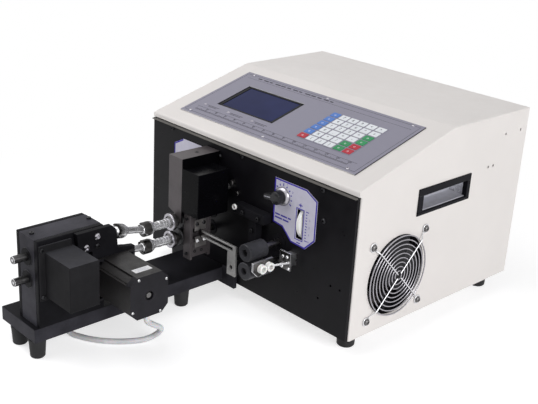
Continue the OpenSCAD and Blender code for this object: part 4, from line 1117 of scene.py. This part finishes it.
def make_handles():
    """Recessed handles: black frame on the side, pressed metal cup behind it."""
    walls = (
        (6, FRAME_OUT, (FRAME_NEAR, FRAME_LOW), (FRAME_FAR, FRAME_SILL), 0),
        (8, FRAME_OUT, (FRAME_NEAR, FRAME_HEAD), (FRAME_FAR, FRAME_TOP), 0),
        (6, FRAME_OUT, (FRAME_NEAR, FRAME_SILL), (FRAME_NEAR + 10.5, FRAME_HEAD), 0),
        (6, FRAME_OUT, (FRAME_FAR - 7.5, FRAME_SILL), (FRAME_FAR, FRAME_HEAD), 0),
        (CUP_DEEP, -28.6, (122, 176), (226.5, 204.5), 1),
        (CUP_DEEP, CUP_OUT, (122, 175.6), (226.5, 177), 1),
        # The cup is one pressed sheet: its top wall and near end take a dark steel as painted shade, its far
        # end a bright steel as painted reflection.
        (CUP_DEEP, CUP_OUT, (122, 203.5), (226.5, 204.9), 2),
        (CUP_DEEP, CUP_OUT, (121.6, 175.6), (123, 204.9), 2),
        (CUP_DEEP, CUP_OUT, (225.5, 175.6), (226.9, 204.9), 3),
    )
    parts = []
    for way in (1, -1):
        for deep, out, low, high, look in walls:
            inner, outer = sorted((way * (SIDE_X - deep), way * (SIDE_X + out)))
            parts.append((block, (inner, *low), (outer, *high), look))
    build("handles_dressed", ("frame_black", "cup_steel", "gun_steel", "satin_silver"), parts,
          width=0.0007, segments=3, slot="handle_black", stands_for=("handle_cups",))


INLET_SIDE_X = 130


def make_inlet():
    """Mains inlet with brass pins, and its switch."""
    pins = at(INLET_SIDE_X, 349, 62.5)

    def pin_look(face):
        c = face.calc_center_median()
        near = abs(c.y - pins.y) < 0.0085 and abs(c.x - pins.x) < 0.0085 and c.z < pins.z
        return 1 if near and face.calc_area() < 6.2e-5 else 0

    dress("power_inlet", "inlet_black", 0.0006, slot="inlet_black", segments=3, choose=pin_look,
          looks=("brass",))
    dress("switch_rocker", "rocker_red", 0.0008, "rocker", "rocker_red", 3)
    spots = [at(INLET_SIDE_X + x, 361, 75) for x in (-16.5, 16.5)]
    screws("inlet_screws", "pan", 0.006, spots, OUT_BACK, "screw_steel")


def make_head():
    """Blade head: body, cover, carriers, blades and their screws."""
    # The head body's right-facing faces above 120 mm take the black of the cover.
    dress("head_body", "ground_steel", 0.0007, slot="head_grey", segments=3,
          choose=lambda f: 1 if f.normal.x > 0.9 and f.calc_center_median().z > 0.12 else 0,
          looks=("cover_black",))
    dress("guide_block", "ground_steel", 0.0004, slot="head_grey")
    dress("head_cover", "cover_black", 0.0014, slot="cover_black", segments=4)
    for side in ("upper", "lower"):
        dress(side + "_carrier", "ground_steel", 0.0003, side + "_knife", "head_grey")
    for side in ("upper", "lower"):
        dress(side + "_blade", "blade_steel", 0.00015, side + "_knife", "blade_steel")
    paint("bright_steel", "blade_pinion")
    screws("head_top_screw", "cap", 0.0060, [at(-66, -30, 209.3)], OUT_UP, "screw_black")
    for body, x, rise, look in (("upper_knife", -34.5, 14, "screw_black"),
                                ("lower_knife", -32.7, -10, "plated")):
        spots = [at(x, y, WIRE_Z + rise) for y in (-52, -40)]
        screws(body + "_screws", "button", 0.0056, spots, OUT_RIGHT, look, body)
    spots = [at(-38, y, z) for y, z in ((-54, 80), (-42, 79.4))]
    screws("carrier_screws", "cap", 0.0048, spots, OUT_RIGHT, "screw_black", "lower_knife")
    spots = [at(-43.5, -62, z) for z in (76, 128)]
    screws("guide_screws", "cap", 0.0045, spots, OUT_FRONT, "screw_black")


BORE = 5.02
ROLLER = [(BORE, 0), (11.2, 0), (12, 0.8), (12, 31.2), (11.2, 32), (BORE, 32), (BORE, 0)]
SHAFT_SLEEVE = [(4.0, 0), (5.6, 0), (5.6, 6), (6.2, 6.6), (6.2, 11), (5.4, 11.6), (5.4, 17),
                (6.4, 17.6), (6.4, 23), (5.6, 25.4), (4.0, 25.4), (4.0, 0)]
HUB_RING = [(8.6, 0), (12.3, 0), (12.3, 1.0), (11.8, 1.5), (9.2, 1.5), (8.6, 1.0), (8.6, 0)]
STUB_R = 5.15
STUB = [(0, -0.2), (STUB_R, -0.2), (STUB_R, 19.2), (STUB_R - 0.9, 20.2), (2.2, 20.2), (1.4, 19.0), (0, 19.0)]


def make_shafts():
    """Rollers and jointed shafts: dark rims on the bells, bright bodies, knurled rollers."""
    for side, x, look in (("inlet", INLET_X, "roller_dark"), ("outlet", OUTLET_X, "knurl_dark")):
        for level, z, _ in LEVELS:
            body = side + "_" + level
            build(body + "_roller_dressed", (look,), [(turned, ROLLER, stand(x, ROLLER_Y, z, TO_BACK), 72)],
                  body, slot="dark_steel", stands_for=(body + "_roller",))
    paint("gun_steel", "inlet_lower_shaft", "inlet_upper_shaft")
    joint_y = at(0, JOINT_Y, 0).y
    hub_y = at(0, HUB_Y, 0).y

    def outlet_look(face):
        y = face.calc_center_median().y
        if y < joint_y + 0.0035 or y > hub_y + 0.0037:
            return 1
        return 2 if hub_y - 0.0005 < y else 0

    for level, z, _ in LEVELS:
        body = "outlet_" + level
        dress(body + "_shaft", "satin_silver", 0.0004, body, "bright_steel", 2, outlet_look,
              ("dark_collar", "gun_steel"))
        build(body + "_sleeve", ("turned_steel", "guard_wire"),
              [(turned, SHAFT_SLEEVE, stand(OUTLET_X, SLEEVE_Y, z, TO_BACK), 40),
               (turned, HUB_RING, stand(OUTLET_X, HUB_Y, z), 48, 1)], body, slot="bright_steel")
    for level, z, gear_z in LEVELS:
        start = at(GEAR_X, GEAR_JOINT_Y, gear_z)
        way = (at(OUTLET_X, JOINT_Y, z) - start).normalized()

        def link_look(face):
            c = face.calc_center_median()
            return 1 if (c - start).dot(way) < 0.0035 and c.y < joint_y - 0.02 else 0

        dress(level + "_link", "satin_silver", 0.0004, "link_" + level, "bright_steel", 2, link_look,
              ("dark_collar",))
    for level, _, gear_z in LEVELS:
        body = "drive_" + level
        dress(body + "_shaft", "satin_silver", 0.0004, body, "bright_steel")
        build(body + "_stub", ("stub_steel",), [(turned, STUB, stand(GEAR_X, GEAR_FRONT_Y, gear_z), 40)],
              body, slot="bright_steel")
    paint("anodised_black", "bearings")
    paint("bright_steel", "feed_pinion", "drive_worm", "motor_posts")
    paint("motor_black", "feed_motor", "blade_motor")
    paint("zinc_sheet", "power_supply")


def inset(outline, d):
    """Outline moved inwards by d, for a convex or nearly convex run of points."""
    n = len(outline)
    area = sum(outline[i - 1][0] * outline[i][1] - outline[i][0] * outline[i - 1][1] for i in range(n))
    s = 1 if area > 0 else -1
    moved = []
    for i in range(n):
        p, q, r = Vector(outline[i - 1]), Vector(outline[i]), Vector(outline[(i + 1) % n])
        u, v = (q - p).normalized(), (r - q).normalized()
        nu, nv = Vector((-u.y, u.x)) * s, Vector((-v.y, v.x)) * s
        m = (nu + nv) * (d / max(0.2, 1 + nu.dot(nv)))
        moved.append((q.x + m.x, q.y + m.y))
    return moved


def border(outline, inner):
    """Quads of the flat border between an outline and one inside it."""
    n = len(outline)
    return [[outline[i], outline[(i + 1) % n], inner[(i + 1) % n], inner[i]] for i in range(n)]


ADJUST_OUTLINE = [(60.6, 208), (118.7, 208), (138.8, 197.5), (138.8, 143), (122, 126.2), (96, 127.5),
                  (78.6, 143.5), (60.8, 145.2)]
MIRROR = -13.2
LEFT_END, COVER_EDGE = -151.9, -81.5
KNOBS, KNOB_Z = {"right": 77, "left": -97}, 186
WHEELS, WHEEL_Z = {"right": 110, "left": MIRROR - 110}, 157
KNOB_SKIRT = [(0, -9), (3, -9), (3, 1.3), (12.9, 1.3), (13, 2), (12.6, 3.6), (11.2, 5.4), (9.8, 6.2),
              (0, 6.2)]
KNOB_CAP = [(0, 6), (9.4, 6), (9.5, 7), (9.3, 14), (8.6, 15.8), (7.2, 16.5), (0, 16.5)]
POINTER = [(-20, -2.6), (-20, 2.6), (-18.5, 3.4), (-4, 3.5), (9.5, 3.5), (9.5, -3.5), (-4, -3.5),
           (-18.5, -3.4)]
POINTER_LINE = [(-19.2, -0.45), (-19.2, 0.45), (-8, 0.45), (-8, -0.45)]
WHEEL_HALF = [(0, 7.4), (3, 7.4), (3, 4), (20.5, 4), (22.0, 3.4), (24.2, 2.9), (24.7, 2.4)]
WHEEL = [(r, -h) for r, h in WHEEL_HALF] + WHEEL_HALF[::-1]
WORDS = ((64.5, 158.6, 9), (75, 158.6, 12), (88.5, 158.6, 5.5), (64.5, 153.8, 13), (79, 153.8, 11))


MARKS, MARK_START, MARK_PITCH = 11, -30, 24
MARK_INNER, MARK_SHORT, MARK_LONG, MARK_HALF = 14.2, 16.8, 18.0, 0.85


def knob_marks(knob_x):
    """Outlines of the marks round a knob, without those that the cover hides."""
    marks = []
    for k in range(MARKS):
        a = math.radians(MARK_START + MARK_PITCH * k)
        way = Vector((math.cos(a), math.sin(a)))
        half = Vector((-way.y, way.x)) * MARK_HALF
        p, q = way * MARK_INNER, way * (MARK_LONG if k % 5 == 0 else MARK_SHORT)
        quad = [(knob_x + v.x, KNOB_Z + v.y) for v in (p - half, q - half, q + half, p + half)]
        if not any(COVER_EDGE - 1 < x < 0 for x, _ in quad):
            marks.append(quad)
    return marks


def plate_print(face):
    """Printed borders, words, signs and marks of both adjusting plates."""
    outer = inset(ADJUST_OUTLINE, 0.15)
    quads = border(outer, inset(outer, 2.1))
    left = [(max(MIRROR - x, LEFT_END), z) for x, z in ADJUST_OUTLINE]
    quads += [q for q in border(inset(left, 0.15), inset(left, 2.2)) if all(x < COVER_EDGE for x, _ in q)]
    for x in WHEELS.values():
        window = bar(x - 7.4, x + 7.4, 134.8, 179.2)
        quads += border(window, inset(window, 1.2))
    parts = [(prism, quad, 0, 0.09, face) for quad in quads]
    parts += [(prism, bar(x, x + width, z - 1.1, z + 1.1), 0, 0.08, face) for x, z, width in WORDS]
    for x in WHEELS.values():
        parts += [(prism, mid_bar(x, 183.6, 6.8, 1.4), 0, 0.08, face),
                  (prism, mid_bar(x, 183.6, 1.4, 5.2), 0, 0.085, face),
                  (prism, mid_bar(x, 131.1, 6.8, 1.4), 0, 0.08, face)]
    for x in KNOBS.values():
        parts += [(prism, quad, 0, 0.08, face) for quad in knob_marks(x)]
    return parts


def make_adjusters():
    """Adjusting plates with their print, pointer knobs and thumbwheels."""
    dress("adjust_plates", "label_film", 0.0003, slot="label_pale")
    face = stand(0, -1, 0)
    build("plate_borders", ("border_ink",), plate_print(face), slot="label_pale")
    quarter = Matrix.Rotation(math.radians(90), 4, "Z")
    for side, x, flip in (("right", 120.2, -1), ("left", MIRROR - 120.2, 1)):
        turn = quarter @ Matrix.Scale(flip, 4, (0, 1, 0))
        place = face @ Matrix.Translation(Vector((x, 138, 0.05)) * MM) @ turn
        marks = grow("wheel_scale_" + side, "ticks", None, place, Count=11, Pitch=0.004, Width=0.0012,
                     Length=0.0026, Finish=finish_of("border_ink"))
        settle(marks, "machine")
    figures = [(str(k), Matrix.Translation(Vector((127.4, 138 + 10 * k, 0.05)) * MM)) for k in range(4)]
    letters("wheel_figures", figures, face, 0.0040, "border_ink")
    figures = []
    for k in (1, 2, 3):
        a = math.radians(150 - 40 * k)
        spot = Vector((KNOBS["right"] + 20 * math.cos(a), KNOB_Z + 20 * math.sin(a), 0.05)) * MM
        figures.append((str(k), Matrix.Translation(spot)))
    letters("knob_figures", figures, face, 0.0042, "border_ink")
    for side, x in KNOBS.items():
        place = stand(x, 0, KNOB_Z)
        tilt = place @ Matrix.Rotation(math.radians(6), 4, "Z")
        parts = [(turned, KNOB_SKIRT, place, 56, 1), (turned, KNOB_CAP, place, 56, 0),
                 (prism, POINTER, 6.5, 16.8, tilt, 0), (prism, POINTER_LINE, 16.6, 16.95, tilt, 2)]
        build("knob_" + side + "_dressed", ("knob_black", "guard_wire", "pale_ink"), parts, "knob_" + side,
              width=0.0006, segments=3, slot="knob_black", stands_for=(side + "_knob",))
    for side, x in WHEELS.items():
        place = stand(x, 20, WHEEL_Z, RIGHT_SIDE)
        node = side + "_thumbwheel"
        build(node + "_dressed", ("nylon_white",), [(turned, WHEEL, place, 72)], "wheel_" + side,
              width=0.0002, slot="nylon_white", stands_for=(node,))
        ribs = grow(node + "_ribs", "ribs", None, place, Count=sizes().wheel_ribs, Radius=0.0246,
                    Rib=(0.0008, 0.0011, 0.0046), Finish=finish_of("nylon_white"))
        settle(ribs, "wheel_" + side)


BUSH = [(3.3, -3.5), (4.75, -3.5), (4.75, 0), (5.4, 0), (6, 0.7), (6, 2.0), (5.5, 2.8), (5.5, 4.0), (6, 4.8),
        (6, 6.8), (5.3, 7.5), (3.9, 7.5), (3.3, 6.9), (3.3, -3.5)]
EYELET = [(2.2, -1), (3.9, -1), (3.9, 2.0), (3.4, 2.6), (2.6, 2.6), (2.2, 2.2), (2.2, -1)]
EYELET_HOLE = [(0, -0.8), (2.3, -0.8), (2.3, 0.4), (0, 0.4)]


def make_wire_guides():
    """Fork, guide arm, bracket, white bushes, eyelet and pins."""
    dress("guide_fork", "drawn_steel", 0.0004, slot="bright_steel")
    dress("guide_arm", "anodised_black", 0.0008, slot="anodised_black", segments=3)
    dress("inlet_bracket", "bright_steel", 0.0004, slot="bright_steel",
          choose=lambda f: 1 if f.calc_area() > 2e-4 else 0, looks=("gun_steel",))
    for node, y in (("guide_bush_front", -56.8), ("guide_bush_rear", -43.8)):
        build(node + "_dressed", ("nylon_white",),
              [(turned, BUSH, stand(99.5, y, WIRE_Z, RIGHT_SIDE))], slot="nylon_white", stands_for=(node,))
    eye = stand(1.5, -16, 150)
    build("arm_eyelet", ("nylon_white", "screw_black"),
          [(turned, EYELET, eye, 36, 0), (turned, EYELET_HOLE, eye, 24, 1)], slot="nylon_white")
    pins = [(turned, [(0, 0), (r, 0), (r, h - 0.6), (r - 0.6, h), (0, h)], stand(x, 0, z), 32)
            for x, z, r, h in ((-21.2, 175.6, 3.6, 5.0), (-10, 163, 3.0, 4.0))]
    build("panel_pins", ("gun_steel",), pins, slot="screw_steel")
    spots = [at(18, -16, 147.5), at(48, -16, 147.5), at(33, -12, 125)]
    screws("guide_arm_screws", "cap", 0.0055, spots, OUT_FRONT, "screw_black")
    spots = [at(x, -15.5, z) for x, z in ((98.4, 112), (106, 113), (97.4, 98), (109.5, 98))]
    screws("bracket_screws", "pan", 0.0048, spots, OUT_FRONT, "plated")


STUB_RING = [(5.6, 0.0), (7.4, 0.0), (7.4, 1.0), (7.0, 1.4), (6.0, 1.4), (5.6, 1.0), (5.6, 0.0)]
STUB_SEAL = [(7.5, 0.0), (11.4, 0.0), (11.4, 0.3), (10.9, 0.8), (8.0, 0.8), (7.5, 0.4), (7.5, 0.0)]
STACK_LEFT, STACK_RIGHT = -16.8, 43.8


# Second finish on faces that point up; the drive unit uses it to paint its tops lighter or darker than their
# sides as painted light and shade.
def top_look(face):
    return 1 if face.normal.z > 0.9 else 0


def motor_look(face):
    """Second finish on the sides of the iron stack, third on the shaft end."""
    axis = at(0, MOTOR_Y, MOTOR_Z)
    c = face.calc_center_median()
    if c.x > at(43.5, 0, 0).x and math.hypot(c.y - axis.y, c.z - axis.z) < 0.0036 and face.calc_area() < 6e-5:
        return 2
    return 1 if at(STACK_LEFT, 0, 0).x < c.x < at(STACK_RIGHT, 0, 0).x and abs(face.normal.x) < 0.5 else 0


def make_drive_unit():
    """Base bar, gearbox, cube cover and drive motor in front of the machine."""
    # The base bar's sides take a lighter copy of the anodised black and its top the plain one: painted light
    # and shade of one finish.
    dress("drive_base", "anodised_base", 0.0009, slot="anodised_black", segments=3, choose=top_look,
          looks=("anodised_black",))
    dress("gearbox_sides", "anodised_black", 0.0011, slot="anodised_black")
    # The lid takes a lighter copy of the anodised black: painted sheen of its top.
    dress("gearbox_core", "anodised_lid", 0.0011, slot="anodised_black")
    dress("motor_plate", "anodised_black", 0.0007, slot="anodised_black")
    # The cube's top faces take a lighter copy of its black: painted sheen on the top.
    dress("cube_cover", "cube_black", 0.0011, slot="cover_black", segments=3, choose=top_look,
          looks=("cube_dust",))
    dress("drive_motor", "motor_black", 0.0006, slot="motor_black", choose=motor_look,
          looks=("motor_stack", "gun_steel"))
    corners = ((-16.3, 25.3), (-25.3, -16.3), (16.3, -25.3), (25.3, 16.3))
    spots = [at(53, MOTOR_Y + y, MOTOR_Z + z) for y, z in corners]
    screws("motor_end_screws", "pan", 0.0040, spots, OUT_RIGHT, "screw_steel")
    label = Matrix.Translation(at(35.5, -196, 120.5))
    build("motor_label", ("paper_white",), [(prism, rounded(10, 25, 0.6), 0, 0.15, label)],
          width=0.00005, slot="motor_black")
    lines = [(prism, mid_bar(x, 0, 0.8, length), 0.15, 0.2, label)
             for x, length in ((-2.4, 18), (0, 12), (2.4, 16))]
    build("motor_label_lines", ("pale_ink",), lines, slot="motor_black")
    rings = []
    for z in (GEAR_LOWER_Z, GEAR_UPPER_Z):
        place = stand(GEAR_X, GEAR_FRONT_Y, z)
        rings += [(turned, STUB_RING, place, 44, 0), (turned, STUB_SEAL, place, 44, 1)]
    build("stub_rings", ("drawn_steel", "screw_black"), rings, slot="bright_steel")


def make_screws():
    """Loose fasteners that the solids hold in one node."""
    spots = [at(x, 0, z) for x, z in ((-158, 217.5), (-51, 204.4), (-6, 217), (146, 216), (151, 176))]
    screws("panel_screws", "button", 0.0066, spots, OUT_FRONT, "screw_black", stands_for=("screws",))
    spots = [on_slope(x, s, PLATE_TOP).translation for x in (-155.7, 0, 155.7) for s in (27, 156)]
    screws("plate_screws", "pan", 0.0046, spots, OUT_OF_SLOPE, "guard_wire")
    ends = (-FAN_SCREW, FAN_SCREW)
    spots = [at(FAN_X + 2, FAN_Y + y, FAN_Z + z) for y in ends for z in ends]
    screws("fan_screws", "pan", 0.0084, spots, OUT_RIGHT, "gun_steel")
    spots = [at(-22, MOTOR_Y + y, GEAR_UPPER_Z + z) for y, z in ((-25, 17.5), (-41, 6))]
    screws("plate_button_screws", "button", 0.0086, spots, OUT_RIGHT, "guard_wire")
    screws("plate_black_screw", "button", 0.0070, [at(-22, -222, 138)], OUT_RIGHT, "screw_black")
    spots = [at(-27, -296.5, z) for z in (88, 150)]
    screws("cube_screws", "button", 0.0055, spots, OUT_RIGHT, "screw_black")
    spots = [at(-56.5, y, 159.6) for y in (-292.5, -211.5)]
    screws("lid_screws", "cap", 0.0060, spots, OUT_UP, "screw_black")


# Stage

WHITE = (1, 1, 1, 1)
FOCAL_PIXELS, PHOTO_WIDTH, SENSOR = 951.0, 538, 36.0
CAMERA_SPOT = (890.3, -823.8, 631.2)
CAMERA_YAW, CAMERA_PITCH, CAMERA_ROLL = (math.radians(a) for a in (-45.55, 21.45, 3.35))
SKY_LIGHT = 0.20
FLOOR_HALF, FLOOR_DROP = 12, 0.0002
FLOOR_TONE, FLOOR_LIFT = (0.62, 0.62, 0.63, 1), 0.64
FADE_START, FADE_END = 0.35, 0.75
LIGHTS = (
    ("key_light", (3.52, -0.4, 1.61), (0, 0, 0.12), 2.1, 91),
    ("fill_light", (-1.3, -1.6, 1.1), (0, -0.1, 0.1), 1.3, 10),
    ("top_light", (-0.5, -0.7, 1.7), (-0.05, -0.05, 0.05), 1.4, 15),
)


def seen_rays(nodes):
    """Socket that is 1 for rays of the camera, of reflections and through glass."""
    path = nodes.add("ShaderNodeLightPath").outputs
    first = nodes.calc("MAXIMUM", path["Is Camera Ray"], path["Is Glossy Ray"])
    return nodes.calc("MAXIMUM", first, path["Is Transmission Ray"])


def make_camera(scene):
    """Camera where the photograph was taken from."""
    camera = bpy.data.cameras.new("camera")
    camera.sensor_width = SENSOR
    camera.lens = FOCAL_PIXELS / PHOTO_WIDTH * SENSOR
    camera.clip_end = 30.0
    holder = new_object("camera", camera)
    level = math.cos(CAMERA_PITCH)
    ahead = Vector((math.sin(CAMERA_YAW) * level, math.cos(CAMERA_YAW) * level, -math.sin(CAMERA_PITCH)))
    right = Vector((math.cos(CAMERA_YAW), -math.sin(CAMERA_YAW), 0))
    up = right.cross(ahead)
    across = math.cos(CAMERA_ROLL) * right + math.sin(CAMERA_ROLL) * up
    upright = -math.sin(CAMERA_ROLL) * right + math.cos(CAMERA_ROLL) * up
    turn = Matrix((across, upright, -ahead)).transposed()
    holder.matrix_world = Matrix.Translation(at(*CAMERA_SPOT)) @ turn.to_4x4()
    scene.camera = holder


def make_sky(scene):
    """White surroundings that light the object only softly."""
    world = scene.world or bpy.data.worlds.new("studio")
    scene.world = world
    world.use_nodes = True
    nodes = Nodes(world.node_tree)
    nodes.tree.nodes.clear()
    soft = nodes.add("ShaderNodeBackground", Color=WHITE, Strength=SKY_LIGHT)
    white = nodes.add("ShaderNodeBackground", Color=WHITE, Strength=1.0)
    mix = nodes.add("ShaderNodeMixShader", seen_rays(nodes), soft.outputs[0], white.outputs[0])
    nodes.add("ShaderNodeOutputWorld", Surface=mix.outputs[0])


def make_floor():
    """Pale floor that keeps the shadow near the object and fades to white away from it."""
    mesh = bpy.data.meshes.new("floor")
    corners = bar(-FLOOR_HALF, FLOOR_HALF, -FLOOR_HALF, FLOOR_HALF)
    mesh.from_pydata([(x, y, 0) for x, y in corners], [], [(0, 1, 2, 3)])
    floor = new_object("floor", mesh)
    floor.location.z = -FLOOR_DROP
    f = Finish("pale_floor", colour=(0.90, 0.90, 0.90), rough=0.6, specular=0.2)
    seen = seen_rays(f)
    lit = f.add("ShaderNodeBsdfDiffuse", Color=FLOOR_TONE)
    lift = f.add("ShaderNodeEmission", Color=WHITE, Strength=FLOOR_LIFT)
    pale = f.add("ShaderNodeAddShader", lit.outputs[0], lift.outputs[0])
    near = f.add("ShaderNodeMixShader", seen, f.shader.outputs[0], pale.outputs[0])
    glow = f.add("ShaderNodeEmission", Color=WHITE, Strength=1.0)
    away = f.add("ShaderNodeVectorMath", f.add("ShaderNodeTexCoord").outputs["Object"], operation="LENGTH")
    fade = f.add("ShaderNodeMapRange", interpolation_type="SMOOTHSTEP", Value=away.outputs["Value"],
                 From_Min=FADE_START, From_Max=FADE_END, To_Min=0.0, To_Max=1.0)
    far = f.calc("MULTIPLY", fade.outputs["Result"], seen)
    mix = f.add("ShaderNodeMixShader", far, near.outputs[0], glow.outputs[0])
    f.feed(f.tree.nodes["Material Output"].inputs["Surface"], mix.outputs[0])
    mesh.materials.append(f.material)


def make_lights():
    """Three soft area lights, each aimed at a target."""
    for name, spot, target, size, power in LIGHTS:
        lamp = bpy.data.lights.new(name, "AREA")
        lamp.size = size
        lamp.energy = power
        light = new_object(name, lamp)
        light.location = spot
        light.rotation_mode = "QUATERNION"
        light.rotation_quaternion = (Vector(target) - Vector(spot)).to_track_quat("-Z", "Y")


def make_stage():
    """Camera, surroundings, floor and lights."""
    scene = bpy.context.scene
    scene.view_settings.view_transform = "Standard"
    make_camera(scene)
    make_sky(scene)
    make_floor()
    make_lights()


# Operators and panel


class BENCH_OT_stage(bpy.types.Operator):
    """Camera, soft light and pale floor"""

    bl_idname = "bench.stage"
    bl_label = "Stage"

    def execute(self, context):
        make_stage()
        return {"FINISHED"}


class BENCH_OT_motor_cable(bpy.types.Operator):
    """Sleeve of the motor cable along the table"""

    bl_idname = "bench.motor_cable"
    bl_label = "Motor cable"

    def execute(self, context):
        make_cable()
        return {"FINISHED"}


class BENCH_OT_housing(bpy.types.Operator):
    """Cover, rear panel, tray, front panel and feet"""

    bl_idname = "bench.housing"
    bl_label = "Housing"

    def execute(self, context):
        make_housing()
        return {"FINISHED"}


class BENCH_OT_control_plate(bpy.types.Operator):
    """Control plate with its ruler and lamps"""

    bl_idname = "bench.control_plate"
    bl_label = "Control plate"

    def execute(self, context):
        make_control_plate()
        return {"FINISHED"}


class BENCH_OT_display(bpy.types.Operator):
    """Blue display window"""

    bl_idname = "bench.display"
    bl_label = "Display"

    def execute(self, context):
        make_display()
        return {"FINISHED"}


class BENCH_OT_keys(bpy.types.Operator):
    """Keys on the control plate"""

    bl_idname = "bench.keys"
    bl_label = "Keys"

    def execute(self, context):
        make_keys()
        return {"FINISHED"}


class BENCH_OT_fan(bpy.types.Operator):
    """Fan and its wire guard"""

    bl_idname = "bench.fan"
    bl_label = "Fan"

    def execute(self, context):
        make_fan()
        return {"FINISHED"}


class BENCH_OT_handles(bpy.types.Operator):
    """Recessed carrying handles"""

    bl_idname = "bench.handles"
    bl_label = "Handles"

    def execute(self, context):
        make_handles()
        return {"FINISHED"}


class BENCH_OT_inlet(bpy.types.Operator):
    """Mains inlet and switch at the back"""

    bl_idname = "bench.inlet"
    bl_label = "Mains inlet"

    def execute(self, context):
        make_inlet()
        return {"FINISHED"}


class BENCH_OT_head(bpy.types.Operator):
    """Blade head with carriers and blades"""

    bl_idname = "bench.head"
    bl_label = "Blade head"

    def execute(self, context):
        make_head()
        return {"FINISHED"}


class BENCH_OT_shafts(bpy.types.Operator):
    """Feed rollers and jointed shafts"""

    bl_idname = "bench.shafts"
    bl_label = "Rollers and shafts"

    def execute(self, context):
        make_shafts()
        return {"FINISHED"}


class BENCH_OT_adjusters(bpy.types.Operator):
    """Adjusting plates, knobs and thumbwheels"""

    bl_idname = "bench.adjusters"
    bl_label = "Adjusters"

    def execute(self, context):
        make_adjusters()
        return {"FINISHED"}


class BENCH_OT_wire_guides(bpy.types.Operator):
    """Fork, guide arm, bracket and white rollers"""

    bl_idname = "bench.wire_guides"
    bl_label = "Wire guides"

    def execute(self, context):
        make_wire_guides()
        return {"FINISHED"}


class BENCH_OT_drive_unit(bpy.types.Operator):
    """Base bar, gearbox, motor and covers in front"""

    bl_idname = "bench.drive_unit"
    bl_label = "Drive unit"

    def execute(self, context):
        make_drive_unit()
        return {"FINISHED"}


class BENCH_OT_screws(bpy.types.Operator):
    """Screws on panel, plate, fan and drive unit"""

    bl_idname = "bench.screws"
    bl_label = "Screws"

    def execute(self, context):
        make_screws()
        return {"FINISHED"}


OPERATORS = (
    BENCH_OT_stage, BENCH_OT_motor_cable, BENCH_OT_housing, BENCH_OT_control_plate, BENCH_OT_display,
    BENCH_OT_keys, BENCH_OT_fan, BENCH_OT_handles, BENCH_OT_inlet, BENCH_OT_head, BENCH_OT_shafts,
    BENCH_OT_adjusters, BENCH_OT_wire_guides, BENCH_OT_drive_unit, BENCH_OT_screws,
)


class BENCH_PT_panel(bpy.types.Panel):
    """Lists the machine's pieces with its sizes and colours"""

    bl_idname = "BENCH_PT_panel"
    bl_label = "Bench machine"
    bl_space_type = "VIEW_3D"
    bl_region_type = "UI"
    bl_category = "Bench machine"

    def draw(self, context):
        for group in (context.scene.bench_sizes, context.scene.bench_finishes):
            for name in group.__annotations__:
                self.layout.prop(group, name)
        for operator in OPERATORS:
            self.layout.operator(operator.bl_idname)


CLASSES = (BenchFinishes, BenchSizes, *OPERATORS, BENCH_PT_panel)


def register():
    for cls in CLASSES:
        bpy.utils.register_class(cls)
    bpy.types.Scene.bench_finishes = PointerProperty(type=BenchFinishes)
    bpy.types.Scene.bench_sizes = PointerProperty(type=BenchSizes)


def unregister():
    del bpy.types.Scene.bench_sizes
    del bpy.types.Scene.bench_finishes
    for cls in reversed(CLASSES):
        bpy.utils.unregister_class(cls)


def main():
    register()
    for operator in OPERATORS:
        group, name = operator.bl_idname.split(".")
        getattr(getattr(bpy.ops, group), name)()


if __name__ == "__main__":
    main()
